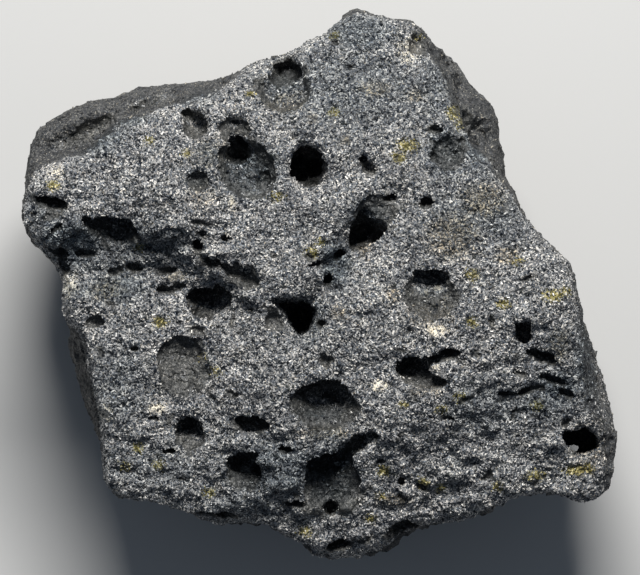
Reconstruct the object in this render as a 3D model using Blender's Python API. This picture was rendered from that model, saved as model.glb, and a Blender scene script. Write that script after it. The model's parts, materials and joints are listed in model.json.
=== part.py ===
"""Vesicular basalt: a fist-sized broken piece of lava full of gas holes, lying on its flat underside.

The rock is one solid. It starts as a block with the outline of the broken face. The face gets its
relief, the underside is chipped back to a few flat fractures, and the gas holes are cut in last.
"""
from collections import namedtuple
from math import cos, radians, sin
import random

import bmesh
import bpy
from mathutils import Matrix, Vector, noise
import numpy as np

MM = 0.001

# Driving dimensions of the whole rock, in millimetres: X, Y and Z.
LENGTH = 80.0
WIDTH = 73.4
HEIGHT = 38.0

# The broken face: its level above the underside, and how it tips. Each slope starts at the given
# distance from the origin along its way.
FACE = 36.6
Slope = namedtuple("Slope", "way start steepness")
FACE_SLOPES = (
    Slope((0.0, 1.0), 12.0, 0.12),
    Slope((0.0, -1.0), 4.0, 0.19),
    Slope((0.45, -0.9), 20.0, 0.20),
)

# Drops to lower levels, and the width of the wall at each.
SHELF_DROP = 10.5
SHELF_WALL = 1.8
SHOULDER_DROP = 12.5
SHOULDER_WALL = 2.4
SHOULDER_FOOT = 14.0
SPUR_LEVEL = 15.5
SPUR_WALL = 1.0
BEVEL_STEEPNESS = 1.1

# Grooves at the foot of the first two walls: how far off the edge, how wide and how deep.
Groove = namedtuple("Groove", "off wide deep")
SHELF_GROOVE = Groove(2.7, 1.3, 3.0)
SHOULDER_GROOVE = Groove(2.3, 1.2, 3.4)

# The step across the left half: its drop, the width of its slope, how far below it the rock
# recovers half of that, where it fades out, and how strongly it is ledged.
STEP_DROP = 4.8
STEP_WALL = 6.5
STEP_RECOVERY = 12.0
STEP_END = 1.0
STEP_FADE = 7.0
STEP_LEDGED = 0.9
TROUGH_DEPTH = 2.6
TROUGH_WIDTH = 2.4

# Ledges across the lower half: from one to the next, the height of each, and how they wander.
LEDGE_SPACING = 4.6
LEDGE_RISE = 1.1
LEDGE_SHARPNESS = 4
LEDGE_WANDER = 1.6
LEDGE_WANDER_SIZE = 11.0
LEDGES_START = 2.0
LEDGES_FULL = -10.0
LEDGES_STRONG = (8.0, 24.0)

# Lumps of the face, the hollows worn in the sides, and their finer roughness: size and height.
FACE_LUMPS = ((15.0, 1.2), (6.5, 0.7))
SIDE_HOLLOWS = ((17.0, 2.6), (8.0, 1.5))
SIDE_ROUGHNESS = ((4.0, 0.8), (2.2, 0.4))
FINE_LUMPS = ((3.2, 0.35),)
MOST_SWELLING = 0.4
WEAR_REACH = 7.0
WALL_LEAN = 0.55

# The face rolls over to the rim within this distance of the outline.
ROLL = (1.6, 3.8)
ROLL_LUMP = 9.0
KEEP_BELOW = 8.0

# How finely the rock is worked, and how many triangles the finished solid has.
ROUGH_GRAIN = 1.1
FINE_GRAIN = 0.8
HOLE_GRAIN = 0.55
REST_CUT = 0.6
TRIANGLES = 9700

# Colour and finish of the rock.
BASALT_COLOUR = (0.085, 0.088, 0.092, 1.0)
BASALT_ROUGHNESS = 0.72

# The outline seen from above, going clockwise from the left: x, y, and the height at which the
# side stands out furthest there.
OUTLINE = (
    (-39.9, 9.0, 26), (-39.2, 12.5, 28), (-39.2, 16.6, 24), (-38.8, 20.1, 21), (-35.7, 22.6, 20),
    (-31.5, 25.0, 18), (-28.5, 25.0, 18), (-25.1, 26.1, 19), (-17.2, 26.8, 21), (-13.2, 26.9, 27),
    (-7.1, 29.9, 30), (-2.4, 31.3, 30), (0.0, 33.2, 30), (2.0, 34.2, 29), (3.5, 36.0, 29),
    (5.2, 36.7, 28), (9.4, 35.6, 28), (11.1, 35.9, 27), (14.4, 34.3, 25), (16.4, 32.8, 24),
    (18.1, 30.3, 22), (20.1, 27.0, 18), (23.2, 24.8, 16), (24.3, 22.3, 15), (24.6, 18.2, 15),
    (25.1, 16.3, 14), (23.8, 14.0, 25), (25.8, 11.7, 29), (26.8, 9.2, 30), (30.5, 5.3, 30),
    (33.1, 3.0, 29), (35.2, -2.9, 26), (36.8, -8.9, 23), (38.0, -13.0, 21), (40.1, -20.3, 19),
    (39.9, -22.3, 20), (38.8, -24.4, 23), (38.9, -26.4, 24), (38.1, -28.0, 24), (36.2, -28.8, 24),
    (29.5, -27.8, 26), (25.6, -28.4, 25), (22.0, -30.4, 24), (17.0, -31.5, 23), (13.6, -32.1, 22),
    (10.7, -33.2, 22), (9.3, -34.6, 21), (3.4, -36.7, 18), (2.1, -35.8, 21), (-0.3, -35.6, 22),
    (-4.4, -33.2, 24), (-7.8, -31.6, 24), (-11.8, -31.9, 18), (-13.6, -32.0, 17), (-18.5, -29.9, 25),
    (-22.5, -28.8, 26), (-27.0, -28.1, 26), (-28.7, -26.5, 26), (-29.0, -22.6, 24), (-30.2, -19.1, 14),
    (-31.7, -15.9, 11), (-32.6, -14.3, 11), (-33.3, -9.9, 12), (-34.0, -6.8, 14), (-33.8, -5.7, 20),
    (-34.4, -4.0, 26), (-34.6, 1.0, 26), (-36.4, 4.8, 25), (-38.5, 6.2, 25),
)

# Edges on the broken face, as x, y. Past each of these the rock falls to a lower level.
SHELF_EDGE = (
    (-39.1, 12.2), (-37.0, 15.0), (-34.4, 16.2), (-31.0, 17.1), (-29.0, 18.4),
    (-26.9, 20.2), (-24.0, 21.9), (-17.6, 23.9), (-12.9, 26.2),
)
STEP_EDGE = (
    (-39.7, 7.2), (-34.6, 7.7), (-29.3, 9.5), (-22.5, 8.3), (-17.2, 6.5), (-12.5, 2.9),
    (-7.5, -0.2), (-2.4, -1.9),
)
SHOULDER_EDGE = (
    (23.8, 13.8), (20.2, 18.2), (18.9, 21.3), (17.5, 24.6), (15.9, 28.1), (13.4, 32.0), (12.0, 35.1),
)
SPUR_EDGE = (
    (-28.7, -23.4), (-29.5, -19.4), (-30.1, -16.6), (-30.9, -12.3), (-31.7, -8.7), (-33.8, -5.7),
    (-34.4, -4.0),
)
OUTLINE_CORNER_Y = -24.0
BEVEL_EDGE = ((37.8, -19.7), (35.3, -16.6), (34.5, -6.2), (33.1, 2.9))
TROUGH = ((9.7, 11.2), (3.6, 3.8), (0.9, -0.9), (-2.4, -4.9))

# Flat fractures of the underside: the way each faces, how far it leans in, and the height on the
# side where it starts.
Fracture = namedtuple("Fracture", "azimuth lean top")
FRACTURES = (
    Fracture(2, 24, 20),
    Fracture(38, 34, 17),
    Fracture(75, 28, 22),
    Fracture(110, 36, 16),
    Fracture(140, 30, 14),
    Fracture(172, 26, 19),
    Fracture(200, 34, 10),
    Fracture(232, 33, 18),
    Fracture(262, 30, 15),
    Fracture(296, 38, 20),
    Fracture(325, 30, 17),
    Fracture(15, 58, 11),
    Fracture(95, 56, 12),
    Fracture(155, 60, 10),
    Fracture(218, 60, 10),
    Fracture(285, 57, 11),
)

# Gas holes of the broken face: middle of the mouth, size of the mouth in X and Y before its turn,
# depth, lean of the hole towards +Y, and turn about Z.
Hole = namedtuple("Hole", "x y across along depth lean turn", defaults=(0, 0))
FACE_HOLES = (
    Hole(-4.7, 26.0, 6.7, 6.6, 3.0),
    Hole(-4.5, 28.0, 5.0, 3.2, 5.5, 30, 14),
    Hole(-16.4, 21.2, 3.4, 3.5, 5.0, 22),
    Hole(-17.6, 22.7, 1.9, 2.3, 3.0, 10),
    Hole(-11.2, 20.7, 4.2, 2.8, 3.0, 30),
    Hole(-10.9, 17.6, 3.7, 3.4, 8.0, 24),
    Hole(-9.7, 15.3, 7.8, 7.0, 2.8, 0, -35),
    Hole(-7.1, 13.6, 2.0, 2.8, 3.6, 15, -20),
    Hole(-1.5, 15.9, 5.4, 6.0, 9.0, 14),
    Hole(6.7, 15.7, 1.9, 2.5, 5.0, 14, 20),
    Hole(-16.1, 13.7, 3.2, 2.6, 1.7, 20),
    Hole(7.0, 8.4, 6.0, 6.0, 3.2),
    Hole(6.2, 7.0, 6.0, 3.0, 5.0, 24, 30),
    Hole(9.6, 11.5, 2.0, 1.6, 3.0, 20),
    Hole(14.4, 10.8, 2.2, 1.7, 2.8, 25),
    Hole(-27.3, 7.7, 6.8, 3.6, 6.5, 34, -24),
    Hole(-35.7, 10.9, 4.4, 1.8, 3.6, 36, -15),
    Hole(-16.1, 5.1, 1.6, 2.0, 3.0, 20),
    Hole(-14.8, -2.0, 6.2, 4.2, 7.0, 32),
    Hole(-10.2, 1.2, 6.4, 2.1, 4.0, 34, -34),
    Hole(-13.7, 2.8, 4.4, 1.5, 3.0, 34),
    Hole(1.1, 0.5, 1.8, 1.6, 2.8, 20),
    Hole(2.7, 4.0, 1.8, 1.6, 2.4, 20),
    Hole(14.9, -1.6, 6.8, 6.0, 2.8),
    Hole(14.9, 0.2, 5.2, 3.2, 6.0, 32, -6),
    Hole(0.5, -15.9, 8.2, 5.6, 6.6, 32),
    Hole(12.4, -10.9, 4.6, 3.8, 6.0, 30, 20),
    Hole(14.7, -12.8, 5.6, 1.9, 4.0, 26, -4),
    Hole(16.9, -9.6, 3.8, 2.0, 4.6, 30, 18),
    Hole(-18.3, -11.0, 6.8, 7.2, 1.9),
    Hole(-17.3, -19.7, 3.9, 4.7, 6.0, 28),
    Hole(-8.7, -18.6, 4.7, 2.5, 5.0, 28),
    Hole(-10.1, -23.9, 4.2, 3.8, 5.0, 30),
    Hole(-10.0, -25.6, 4.4, 3.6, 2.6),
    Hole(1.3, -24.2, 6.8, 4.8, 7.5, 32, 10),
    Hole(1.6, -26.6, 7.4, 6.0, 3.0),
    Hole(5.5, -20.9, 6.6, 2.0, 4.2, 32, 24),
    Hole(1.5, -30.1, 1.9, 2.2, 5.0),
    Hole(27.3, -6.4, 2.5, 3.1, 5.0, 12),
    Hole(30.0, -9.7, 4.4, 1.7, 3.6, 32, -16),
    Hole(0.9, -10.3, 1.9, 2.3, 1.4, 15),
    Hole(-29.9, -5.2, 2.7, 1.9, 1.2, 20),
    Hole(13.6, 31.4, 3.4, 2.4, 3.6, 25),
    Hole(21.4, 19.6, 3.0, 5.4, 3.6, 10, 14),
    Hole(17.3, 17.4, 4.6, 4.4, 1.7),
    Hole(-5.8, -5.1, 2.7, 2.9, 1.5, 20),
    Hole(-19.9, -0.5, 4.0, 1.5, 2.4, 34),
    Hole(-25.8, 1.9, 5.6, 1.4, 2.2, 34),
    Hole(-13.8, -31.2, 5.9, 1.8, 4.0, 24),
    Hole(12.3, -32.0, 4.0, 2.2, 3.6, 20),
    Hole(3.1, -34.8, 3.2, 1.7, 3.2, 20),
)

# Two holes with angular mouths: the three-cornered one in the middle, and the one in the thin
# lower right edge, from whose floor a narrow passage goes right through the rock.
WEDGE_MOUTH = ((-6.0, -2.1), (-1.7, -1.4), (0.1, -3.4), (-0.7, -5.8), (-2.7, -8.3), (-4.2, -5.0))
WEDGE_DEPTH = 10.0
WEDGE_TAPER = 0.62
EDGE_MOUTH = (
    (32.5, -19.5), (34.2, -19.7), (35.7, -19.0), (37.4, -20.3), (37.8, -21.9), (37.0, -22.6),
    (34.8, -23.0), (33.7, -22.5), (32.5, -21.1),
)
EDGE_DEPTH = 9.0
EDGE_TAPER = 0.85
CUTTER_STANDS_OUT = 3.0
PASSAGE = (34.5, -22.1)
PASSAGE_RADIUS = 1.0
PASSAGE_SIDES = 16

# How deep the middle of a bubble lies below its mouth, as a share of its half depth.
SUNK = 0.3
BUBBLE_LUMPS = 0.16
BUBBLE_LUMP_RATE = 1.7

# Gas holes scattered over the sides and the underside, clear of the rim, the walls within the face
# and the spot it rests on.
SIDE_HOLES = 84
SIDE_HOLE_RADIUS = (0.9, 3.4)
SIDE_HOLE_BIAS = 1.7
SIDE_HOLE_SINK = 0.25
FACES_UP = 0.35
INNER_WALLS = 5.0
CLEAR_OF_RIM = 1.3
CLEAR_OF_REST_POINT = 9.0
SEED = 41


def remove_everything():
    for old in list(bpy.data.objects):
        bpy.data.objects.remove(old, do_unlink=True)


def baked(rock):
    """Put the result of the rock's modifiers in its mesh, and take them off."""
    evaluated = rock.evaluated_get(bpy.context.evaluated_depsgraph_get())
    mesh = bpy.data.meshes.new_from_object(evaluated)
    old = rock.data
    rock.modifiers.clear()
    rock.data = mesh
    bpy.data.meshes.remove(old)
    return rock


def remeshed(rock, grain):
    """Cover the rock with an even net of faces about one grain wide."""
    remesh = rock.modifiers.new("Even net", "REMESH")
    remesh.mode = "VOXEL"
    remesh.voxel_size = grain * MM
    return baked(rock)


def points_of(mesh):
    """Vertex places as an array, in millimetres."""
    flat = np.empty(len(mesh.vertices) * 3)
    mesh.vertices.foreach_get("co", flat)
    return flat.reshape(-1, 3) / MM


def set_points(mesh, points):
    mesh.vertices.foreach_set("co", (points * MM).ravel())
    mesh.update()


def smoothstep(value):
    value = np.clip(value, 0.0, 1.0)
    return value * value * (3.0 - 2.0 * value)


def lumps(points, size, seed):
    """Smooth noise between -1 and 1 with lumps about one size across."""
    shift = Vector((seed * 13.7, seed * 5.1, seed * 9.3))
    return np.array([noise.noise(Vector(p) / size + shift) for p in points.tolist()])


def layered_lumps(points, layers, seed):
    """Lumps of several sizes and heights, one on the other."""
    return sum(
        height * lumps(points, size, seed + number) for number, (size, height) in enumerate(layers)
    )


def distance_to_line(xy, line):
    """Distance from each point to a broken line, with the line's values at the nearest spot."""
    line = np.asarray(line, dtype=float)
    nearest = np.full(len(xy), np.inf)
    values = np.zeros((len(xy), line.shape[1] - 2))
    for start, end in zip(line[:-1], line[1:]):
        along = end[:2] - start[:2]
        share = np.clip((xy - start[:2]) @ along / (along @ along), 0.0, 1.0)
        gap = np.hypot(*(xy - start[:2] - share[:, None] * along).T)
        closer = gap < nearest
        nearest[closer] = gap[closer]
        values[closer] = start[2:] + share[closer, None] * (end[2:] - start[2:])
    return nearest, values


def edge_place(at, edge, axis):
    """Place of an edge line along one axis, at the given coordinates along the other."""
    edge = np.asarray(edge)
    return np.interp(at, edge[:, 1 - axis], edge[:, axis])


def step_slope(x, y):
    """How far down the step each spot lies, from 0 at its edge to 1 at its foot."""
    below = edge_place(x, STEP_EDGE, 1) - y
    return smoothstep(below / STEP_WALL) * smoothstep((STEP_END - x) / STEP_FADE)


def step_drop(x, y):
    """The step: below its edge the rock lies lower, and rises a little again further down."""
    below = edge_place(x, STEP_EDGE, 1) - y
    recovered = 0.5 + 0.5 * np.exp(-np.maximum(below, 0) / STEP_RECOVERY)
    return STEP_DROP * step_slope(x, y) * recovered


def ledge_rise(x, y, ground):
    """Ledges run across the lower half: each treads level, then drops sharply."""
    wander = LEDGE_WANDER * lumps(ground, LEDGE_WANDER_SIZE, 3)
    tread = np.mod(y / LEDGE_SPACING + wander, 1.0)
    ledged = smoothstep((LEDGES_START - y) / (LEDGES_START - LEDGES_FULL))
    weak, strong = LEDGES_STRONG
    ledged *= 0.5 + 0.5 * smoothstep((x - weak) / (strong - weak))
    ledged = np.maximum(ledged, STEP_LEDGED * step_slope(x, y) * (1 - step_slope(x, y)) * 4)
    return LEDGE_RISE * ledged * (0.5 - np.minimum(tread, (1 - tread) * LEDGE_SHARPNESS))


def groove(past, form):
    """Depth of a groove at the foot of a wall, at the given distances past the wall's edge."""
    return np.where(past > 0, form.deep * np.exp(-(((past - form.off) / form.wide) ** 2)), 0)


def edge_drops(x, y):
    """Drops outside the shelf, shoulder and bevel edges."""
    past_shelf = np.where(x < SHELF_EDGE[-1][0], y - edge_place(x, SHELF_EDGE, 1), -1)
    drop = SHELF_DROP * smoothstep(past_shelf / SHELF_WALL) + groove(past_shelf, SHELF_GROOVE)
    past_shoulder = np.where(y > SHOULDER_EDGE[0][1], x - edge_place(y, SHOULDER_EDGE, 0), -1)
    drop += SHOULDER_DROP * smoothstep(past_shoulder / SHOULDER_WALL)
    drop += groove(past_shoulder, SHOULDER_GROOVE) * smoothstep((y - SHOULDER_FOOT) / SHOULDER_WALL)
    beside_bevel = (y > OUTLINE_CORNER_Y) & (y < BEVEL_EDGE[-1][1])
    past_bevel = np.where(beside_bevel, x - edge_place(y, BEVEL_EDGE, 0), 0)
    return drop + BEVEL_STEEPNESS * np.maximum(past_bevel, 0)


def face_height(xy):
    """Height of the broken face above the underside, before its holes."""
    x, y = xy.T
    ground = np.column_stack([x, y, np.zeros(len(x))])
    height = FACE + layered_lumps(ground, FACE_LUMPS, 1)
    for slope in FACE_SLOPES:
        height -= slope.steepness * np.maximum(0, xy @ np.array(slope.way) - slope.start)
    gap, _ = distance_to_line(xy, TROUGH)
    height -= TROUGH_DEPTH * np.exp(-((gap / TROUGH_WIDTH) ** 2))
    height -= step_drop(x, y)
    height += ledge_rise(x, y, ground)
    height -= edge_drops(x, y)
    beside_spur = (y > SPUR_EDGE[0][1]) & (y < SPUR_EDGE[-1][1])
    past_spur = np.where(beside_spur, edge_place(y, SPUR_EDGE, 0) - x, -1)
    return height + (SPUR_LEVEL - height) * smoothstep(past_spur / SPUR_WALL)


def outline_block():
    """A straight block with the rock's outline, as high as the rock."""
    shape = bmesh.new()
    rim = [shape.verts.new((x * MM, y * MM, 0)) for x, y, _ in OUTLINE]
    base = shape.faces.new(rim)
    walls = bmesh.ops.extrude_face_region(shape, geom=[base])
    top = [v for v in walls["geom"] if isinstance(v, bmesh.types.BMVert)]
    bmesh.ops.translate(shape, verts=top, vec=(0, 0, HEIGHT * MM))
    bmesh.ops.recalc_face_normals(shape, faces=shape.faces)
    mesh = bpy.data.meshes.new("basalt")
    shape.to_mesh(mesh)
    shape.free()
    rock = bpy.data.objects.new("basalt", mesh)
    bpy.context.collection.objects.link(rock)
    return rock


def raise_face(rock):
    """Press the block's top down to the broken face, rolling over to the rim along the outline."""
    points = points_of(rock.data)
    xy = points[:, :2]
    gap, rim = distance_to_line(xy, OUTLINE + OUTLINE[:1])
    rim = rim[:, 0]
    narrow, wide = ROLL
    roll = narrow + (wide - narrow) * 0.5 * (1 + lumps(np.column_stack([xy, rim]), ROLL_LUMP, 5))
    rise = np.sqrt(1 - (1 - np.clip(gap / roll, 0, 1)) ** 2)
    top = rim + (face_height(xy) - rim) * rise
    share = np.maximum(points[:, 2] - KEEP_BELOW, 0) / (HEIGHT - KEEP_BELOW)
    points[:, 2] = np.minimum(points[:, 2], KEEP_BELOW) + share * (top - KEEP_BELOW)
    set_points(rock.data, points)


def chip(rock, fracture):
    """Break the lower side off along one flat fracture."""
    turn = radians(fracture.azimuth)
    lean = radians(fracture.lean)
    outward = Vector((cos(turn), sin(turn), 0))
    reach = max(outward.x * x + outward.y * y for x, y, _ in OUTLINE)
    shape = bmesh.new()
    shape.from_mesh(rock.data)
    bmesh.ops.bisect_plane(
        shape,
        geom=shape.verts[:] + shape.edges[:] + shape.faces[:],
        plane_co=(outward * reach + Vector((0, 0, fracture.top))) * MM,
        plane_no=outward * cos(lean) - Vector((0, 0, sin(lean))),
        clear_outer=True,
    )
    rim = [edge for edge in shape.edges if edge.is_boundary]
    bmesh.ops.holes_fill(shape, edges=rim)
    shape.to_mesh(rock.data)
    shape.free()


def roughen(rock):
    """Wear the sides and the underside into lumps and hollows, and leave the outline alone."""
    points = points_of(rock.data)
    normals = np.array([v.normal[:] for v in rock.data.vertices])
    gap, rim = distance_to_line(points[:, :2], OUTLINE + OUTLINE[:1])
    below_rim = rim[:, 0] - points[:, 2]
    worn = smoothstep(np.hypot(gap, below_rim) / WEAR_REACH)
    worn *= smoothstep((WALL_LEAN - normals[:, 2]) / WALL_LEAN)
    worn *= np.where(below_rim < 0, 0.5, 1.0)
    off_rest_point = np.linalg.norm(points, axis=1) - CLEAR_OF_REST_POINT
    worn *= smoothstep(off_rest_point / WEAR_REACH)
    hollows = np.maximum(layered_lumps(points, SIDE_HOLLOWS, 7), -MOST_SWELLING)
    worn *= hollows + layered_lumps(points, SIDE_ROUGHNESS, 9)
    swollen = layered_lumps(points, FINE_LUMPS, 11) * smoothstep(gap / FINE_LUMPS[0][0])
    points += normals * (swollen - worn)[:, None]
    set_points(rock.data, points)


def new_cutter(name, shape, cutters):
    bmesh.ops.recalc_face_normals(shape, faces=shape.faces)
    mesh = bpy.data.meshes.new(name)
    shape.to_mesh(mesh)
    shape.free()
    cutter = bpy.data.objects.new(name, mesh)
    cutter.hide_render = True
    cutter.display_type = "WIRE"
    cutters.objects.link(cutter)


def bubble(radii, seed):
    """A gas bubble: a ball with slightly lumpy walls, in millimetres."""
    shape = bmesh.new()
    bmesh.ops.create_icosphere(shape, subdivisions=3, radius=1.0)
    for vert in shape.verts:
        at = vert.co * BUBBLE_LUMP_RATE + Vector((seed * 3.1, 0, seed))
        vert.co *= 1.0 + BUBBLE_LUMPS * noise.noise(at)
    bmesh.ops.scale(shape, vec=radii, verts=shape.verts)
    return shape


def face_hole(number, hole, cutters):
    """A bubble sunk in the broken face, so that its mouth has the size of the hole."""
    widen = 0.5 / (1.0 - SUNK**2) ** 0.5
    half_depth = hole.depth / (1.0 + SUNK)
    shape = bubble((hole.across * widen, hole.along * widen, half_depth), number)
    place = Matrix.Translation((hole.x, hole.y, 0)) @ Matrix.Rotation(radians(hole.turn), 4, "Z")
    leaning = Matrix.Rotation(radians(hole.lean), 4, "X")
    shape.transform(place @ leaning)
    level = float(face_height(np.array([[hole.x, hole.y]]))[0]) - SUNK * half_depth
    shape.transform(Matrix.Scale(MM, 4) @ Matrix.Translation((0, 0, level)))
    new_cutter(f"hole_{number}", shape, cutters)


def angular_hole(name, mouth, depth, taper, cutters):
    """A hole with straight-sided walls that draw in with depth."""
    middle = np.mean(mouth, axis=0)
    level = float(face_height(np.array([middle]))[0])
    shape = bmesh.new()
    rim = [shape.verts.new((x, y, level + CUTTER_STANDS_OUT)) for x, y in mouth]
    lid = shape.faces.new(rim)
    walls = bmesh.ops.extrude_face_region(shape, geom=[lid])
    floor = [v for v in walls["geom"] if isinstance(v, bmesh.types.BMVert)]
    bmesh.ops.translate(shape, verts=floor, vec=(0, 0, -CUTTER_STANDS_OUT - depth))
    pivot = Matrix.Translation((-middle[0], -middle[1], 0))
    bmesh.ops.scale(shape, vec=(taper, taper, 1), space=pivot, verts=floor)
    shape.transform(Matrix.Scale(MM, 4))
    new_cutter(name, shape, cutters)


def passage(cutters):
    """The narrow way from the floor of the edge hole out through the underside."""
    shape = bmesh.new()
    bmesh.ops.create_cone(
        shape,
        cap_ends=True,
        segments=PASSAGE_SIDES,
        radius1=PASSAGE_RADIUS,
        radius2=PASSAGE_RADIUS,
        depth=HEIGHT,
    )
    level = float(face_height(np.array([PASSAGE]))[0]) - EDGE_DEPTH / 2
    shape.transform(Matrix.Translation((*PASSAGE, level - HEIGHT / 2)))
    shape.transform(Matrix.Scale(MM, 4))
    new_cutter("passage", shape, cutters)


def scatter_side_holes(rock, cutters):
    """Bubbles over the sides and the underside, off the rim and the spot it rests on."""
    dice = random.Random(SEED)
    sides = [face for face in rock.data.polygons if face.normal.z < FACES_UP]
    smallest, largest = SIDE_HOLE_RADIUS
    placed = []
    for face in dice.sample(sides, len(sides)):
        size = smallest + (largest - smallest) * dice.random() ** SIDE_HOLE_BIAS
        place = face.center / MM
        gap, rim = distance_to_line(np.array([place.xy]), OUTLINE + OUTLINE[:1])
        off_rim = np.hypot(gap[0], rim[0, 0] - place.z)
        inside_face = gap[0] > INNER_WALLS and place.z > SPUR_LEVEL
        rests = place.length < CLEAR_OF_REST_POINT + size
        crowded = any((place - other).length < size + near for other, near in placed)
        if off_rim < size * CLEAR_OF_RIM or inside_face or rests or crowded:
            continue
        placed.append((place, size))
        radii = (size, size * dice.uniform(0.75, 1.0), size * dice.uniform(0.8, 1.15))
        shape = bubble(radii, len(FACE_HOLES) + len(placed))
        shape.transform(face.normal.to_track_quat("Z", "Y").to_matrix().to_4x4())
        shape.transform(Matrix.Translation(place - face.normal * size * SIDE_HOLE_SINK))
        shape.transform(Matrix.Scale(MM, 4))
        new_cutter(f"side_hole_{len(placed)}", shape, cutters)
        if len(placed) == SIDE_HOLES:
            break


def cut_holes(rock):
    cutters = bpy.data.collections.new("gas_holes")
    bpy.context.scene.collection.children.link(cutters)
    for number, hole in enumerate(FACE_HOLES):
        face_hole(number, hole, cutters)
    angular_hole("wedge_hole", WEDGE_MOUTH, WEDGE_DEPTH, WEDGE_TAPER, cutters)
    angular_hole("edge_hole", EDGE_MOUTH, EDGE_DEPTH, EDGE_TAPER, cutters)
    passage(cutters)
    scatter_side_holes(rock, cutters)
    boolean = rock.modifiers.new("Gas holes", "BOOLEAN")
    boolean.operation = "DIFFERENCE"
    boolean.operand_type = "COLLECTION"
    boolean.collection = cutters
    boolean.solver = "EXACT"
    baked(rock)


def keep_largest_piece(rock):
    """Drop the crumbs that the cuts left loose."""
    shape = bmesh.new()
    shape.from_mesh(rock.data)
    waiting = set(shape.verts)
    pieces = []
    while waiting:
        piece = set()
        front = [next(iter(waiting))]
        while front:
            vert = front.pop()
            if vert in piece:
                continue
            piece.add(vert)
            front.extend(edge.other_vert(vert) for edge in vert.link_edges)
        waiting -= piece
        pieces.append(piece)
    pieces.sort(key=len)
    crumbs = [vert for piece in pieces[:-1] for vert in piece]
    bmesh.ops.delete(shape, geom=crumbs, context="VERTS")
    shape.to_mesh(rock.data)
    shape.free()


def thin_out(rock):
    """Keep the faces that the shape needs."""
    count = sum(len(face.vertices) - 2 for face in rock.data.polygons)
    decimate = rock.modifiers.new("Thin out", "DECIMATE")
    decimate.ratio = TRIANGLES / count
    baked(rock)


def flatten_rest(rock):
    """Cut the underside flat where the rock rests."""
    shape = bmesh.new()
    shape.from_mesh(rock.data)
    bmesh.ops.bisect_plane(
        shape,
        geom=shape.verts[:] + shape.edges[:] + shape.faces[:],
        plane_co=(0, 0, REST_CUT * MM),
        plane_no=(0, 0, -1),
        clear_outer=True,
    )
    rim = [edge for edge in shape.edges if edge.is_boundary]
    bmesh.ops.holes_fill(shape, edges=rim)
    bmesh.ops.triangulate(shape, faces=shape.faces)
    shape.to_mesh(rock.data)
    shape.free()


def fit_to_size(rock):
    """Bring the rock to its exact size, standing on Z = 0 with its middle at the origin."""
    points = points_of(rock.data)
    low = points.min(axis=0)
    size = points.max(axis=0) - low
    points = (points - low) * np.array([LENGTH, WIDTH, HEIGHT]) / size
    set_points(rock.data, points - np.array([LENGTH / 2, WIDTH / 2, 0]))


def basalt_material():
    material = bpy.data.materials.new("basalt")
    material.use_nodes = True
    finish = material.node_tree.nodes["Principled BSDF"]
    finish.inputs["Base Color"].default_value = BASALT_COLOUR
    finish.inputs["Roughness"].default_value = BASALT_ROUGHNESS
    finish.inputs["Metallic"].default_value = 0.0
    return material


def main():
    remove_everything()
    rock = outline_block()
    remeshed(rock, ROUGH_GRAIN)
    raise_face(rock)
    for fracture in FRACTURES:
        chip(rock, fracture)
    remeshed(rock, FINE_GRAIN)
    roughen(rock)
    cut_holes(rock)
    remeshed(rock, HOLE_GRAIN)
    keep_largest_piece(rock)
    thin_out(rock)
    flatten_rest(rock)
    keep_largest_piece(rock)
    fit_to_size(rock)
    rock.data.materials.append(basalt_material())


if __name__ == "__main__":
    main()
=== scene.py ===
from collections import namedtuple
import json
from math import pi, radians
import random

import bmesh
import bpy
from mathutils import Matrix, Vector, noise
from mathutils.kdtree import KDTree
import numpy as np

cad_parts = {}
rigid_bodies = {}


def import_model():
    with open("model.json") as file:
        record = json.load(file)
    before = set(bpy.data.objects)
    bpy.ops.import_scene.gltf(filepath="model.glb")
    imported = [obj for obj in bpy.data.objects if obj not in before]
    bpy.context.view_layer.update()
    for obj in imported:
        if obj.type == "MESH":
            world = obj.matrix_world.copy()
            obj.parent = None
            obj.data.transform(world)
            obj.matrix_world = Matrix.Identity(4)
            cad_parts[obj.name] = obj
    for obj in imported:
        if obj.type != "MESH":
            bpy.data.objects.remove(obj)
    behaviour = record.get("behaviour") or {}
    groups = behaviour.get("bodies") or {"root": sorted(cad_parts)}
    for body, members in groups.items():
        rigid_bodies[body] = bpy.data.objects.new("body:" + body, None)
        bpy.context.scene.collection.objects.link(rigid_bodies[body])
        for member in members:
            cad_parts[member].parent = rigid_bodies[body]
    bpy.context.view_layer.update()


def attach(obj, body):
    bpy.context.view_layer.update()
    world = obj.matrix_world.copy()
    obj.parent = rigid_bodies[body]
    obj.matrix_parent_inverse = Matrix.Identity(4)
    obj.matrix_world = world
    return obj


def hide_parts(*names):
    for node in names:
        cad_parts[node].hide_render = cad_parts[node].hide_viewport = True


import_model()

# ----------------------------------------
# The rock. One broken piece of lava, full of gas holes. It broke along ledges whose sharp rises
# face the front (-Y), so the fresh face on top is ragged, and the older breaks around it are
# worn, and darkened in colour as painted shade. Sizes and places are in millimetres.
# ----------------------------------------
MM = 0.001

# Nets of faces that carry the shape, and the rounds that take the facets off the plain solid.
MERGE = 0.01
FIRST_NET = 0.5
WORK_NET = 0.36
FACET_ROUNDS = 2


def points_of(mesh):
    """Vertex places as an array, in millimetres."""
    flat = np.empty(len(mesh.vertices) * 3)
    mesh.vertices.foreach_get("co", flat)
    return flat.reshape(-1, 3) / MM


def normals_of(mesh):
    flat = np.empty(len(mesh.vertices) * 3)
    mesh.vertices.foreach_get("normal", flat)
    return flat.reshape(-1, 3)


def set_points(mesh, points):
    mesh.vertices.foreach_set("co", (points * MM).ravel())
    mesh.update()


def baked(piece):
    """Put the result of a piece's modifiers in its mesh, and take them off."""
    evaluated = piece.evaluated_get(bpy.context.evaluated_depsgraph_get())
    mesh = bpy.data.meshes.new_from_object(evaluated)
    old = piece.data
    piece.modifiers.clear()
    piece.data = mesh
    bpy.data.meshes.remove(old)


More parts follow.
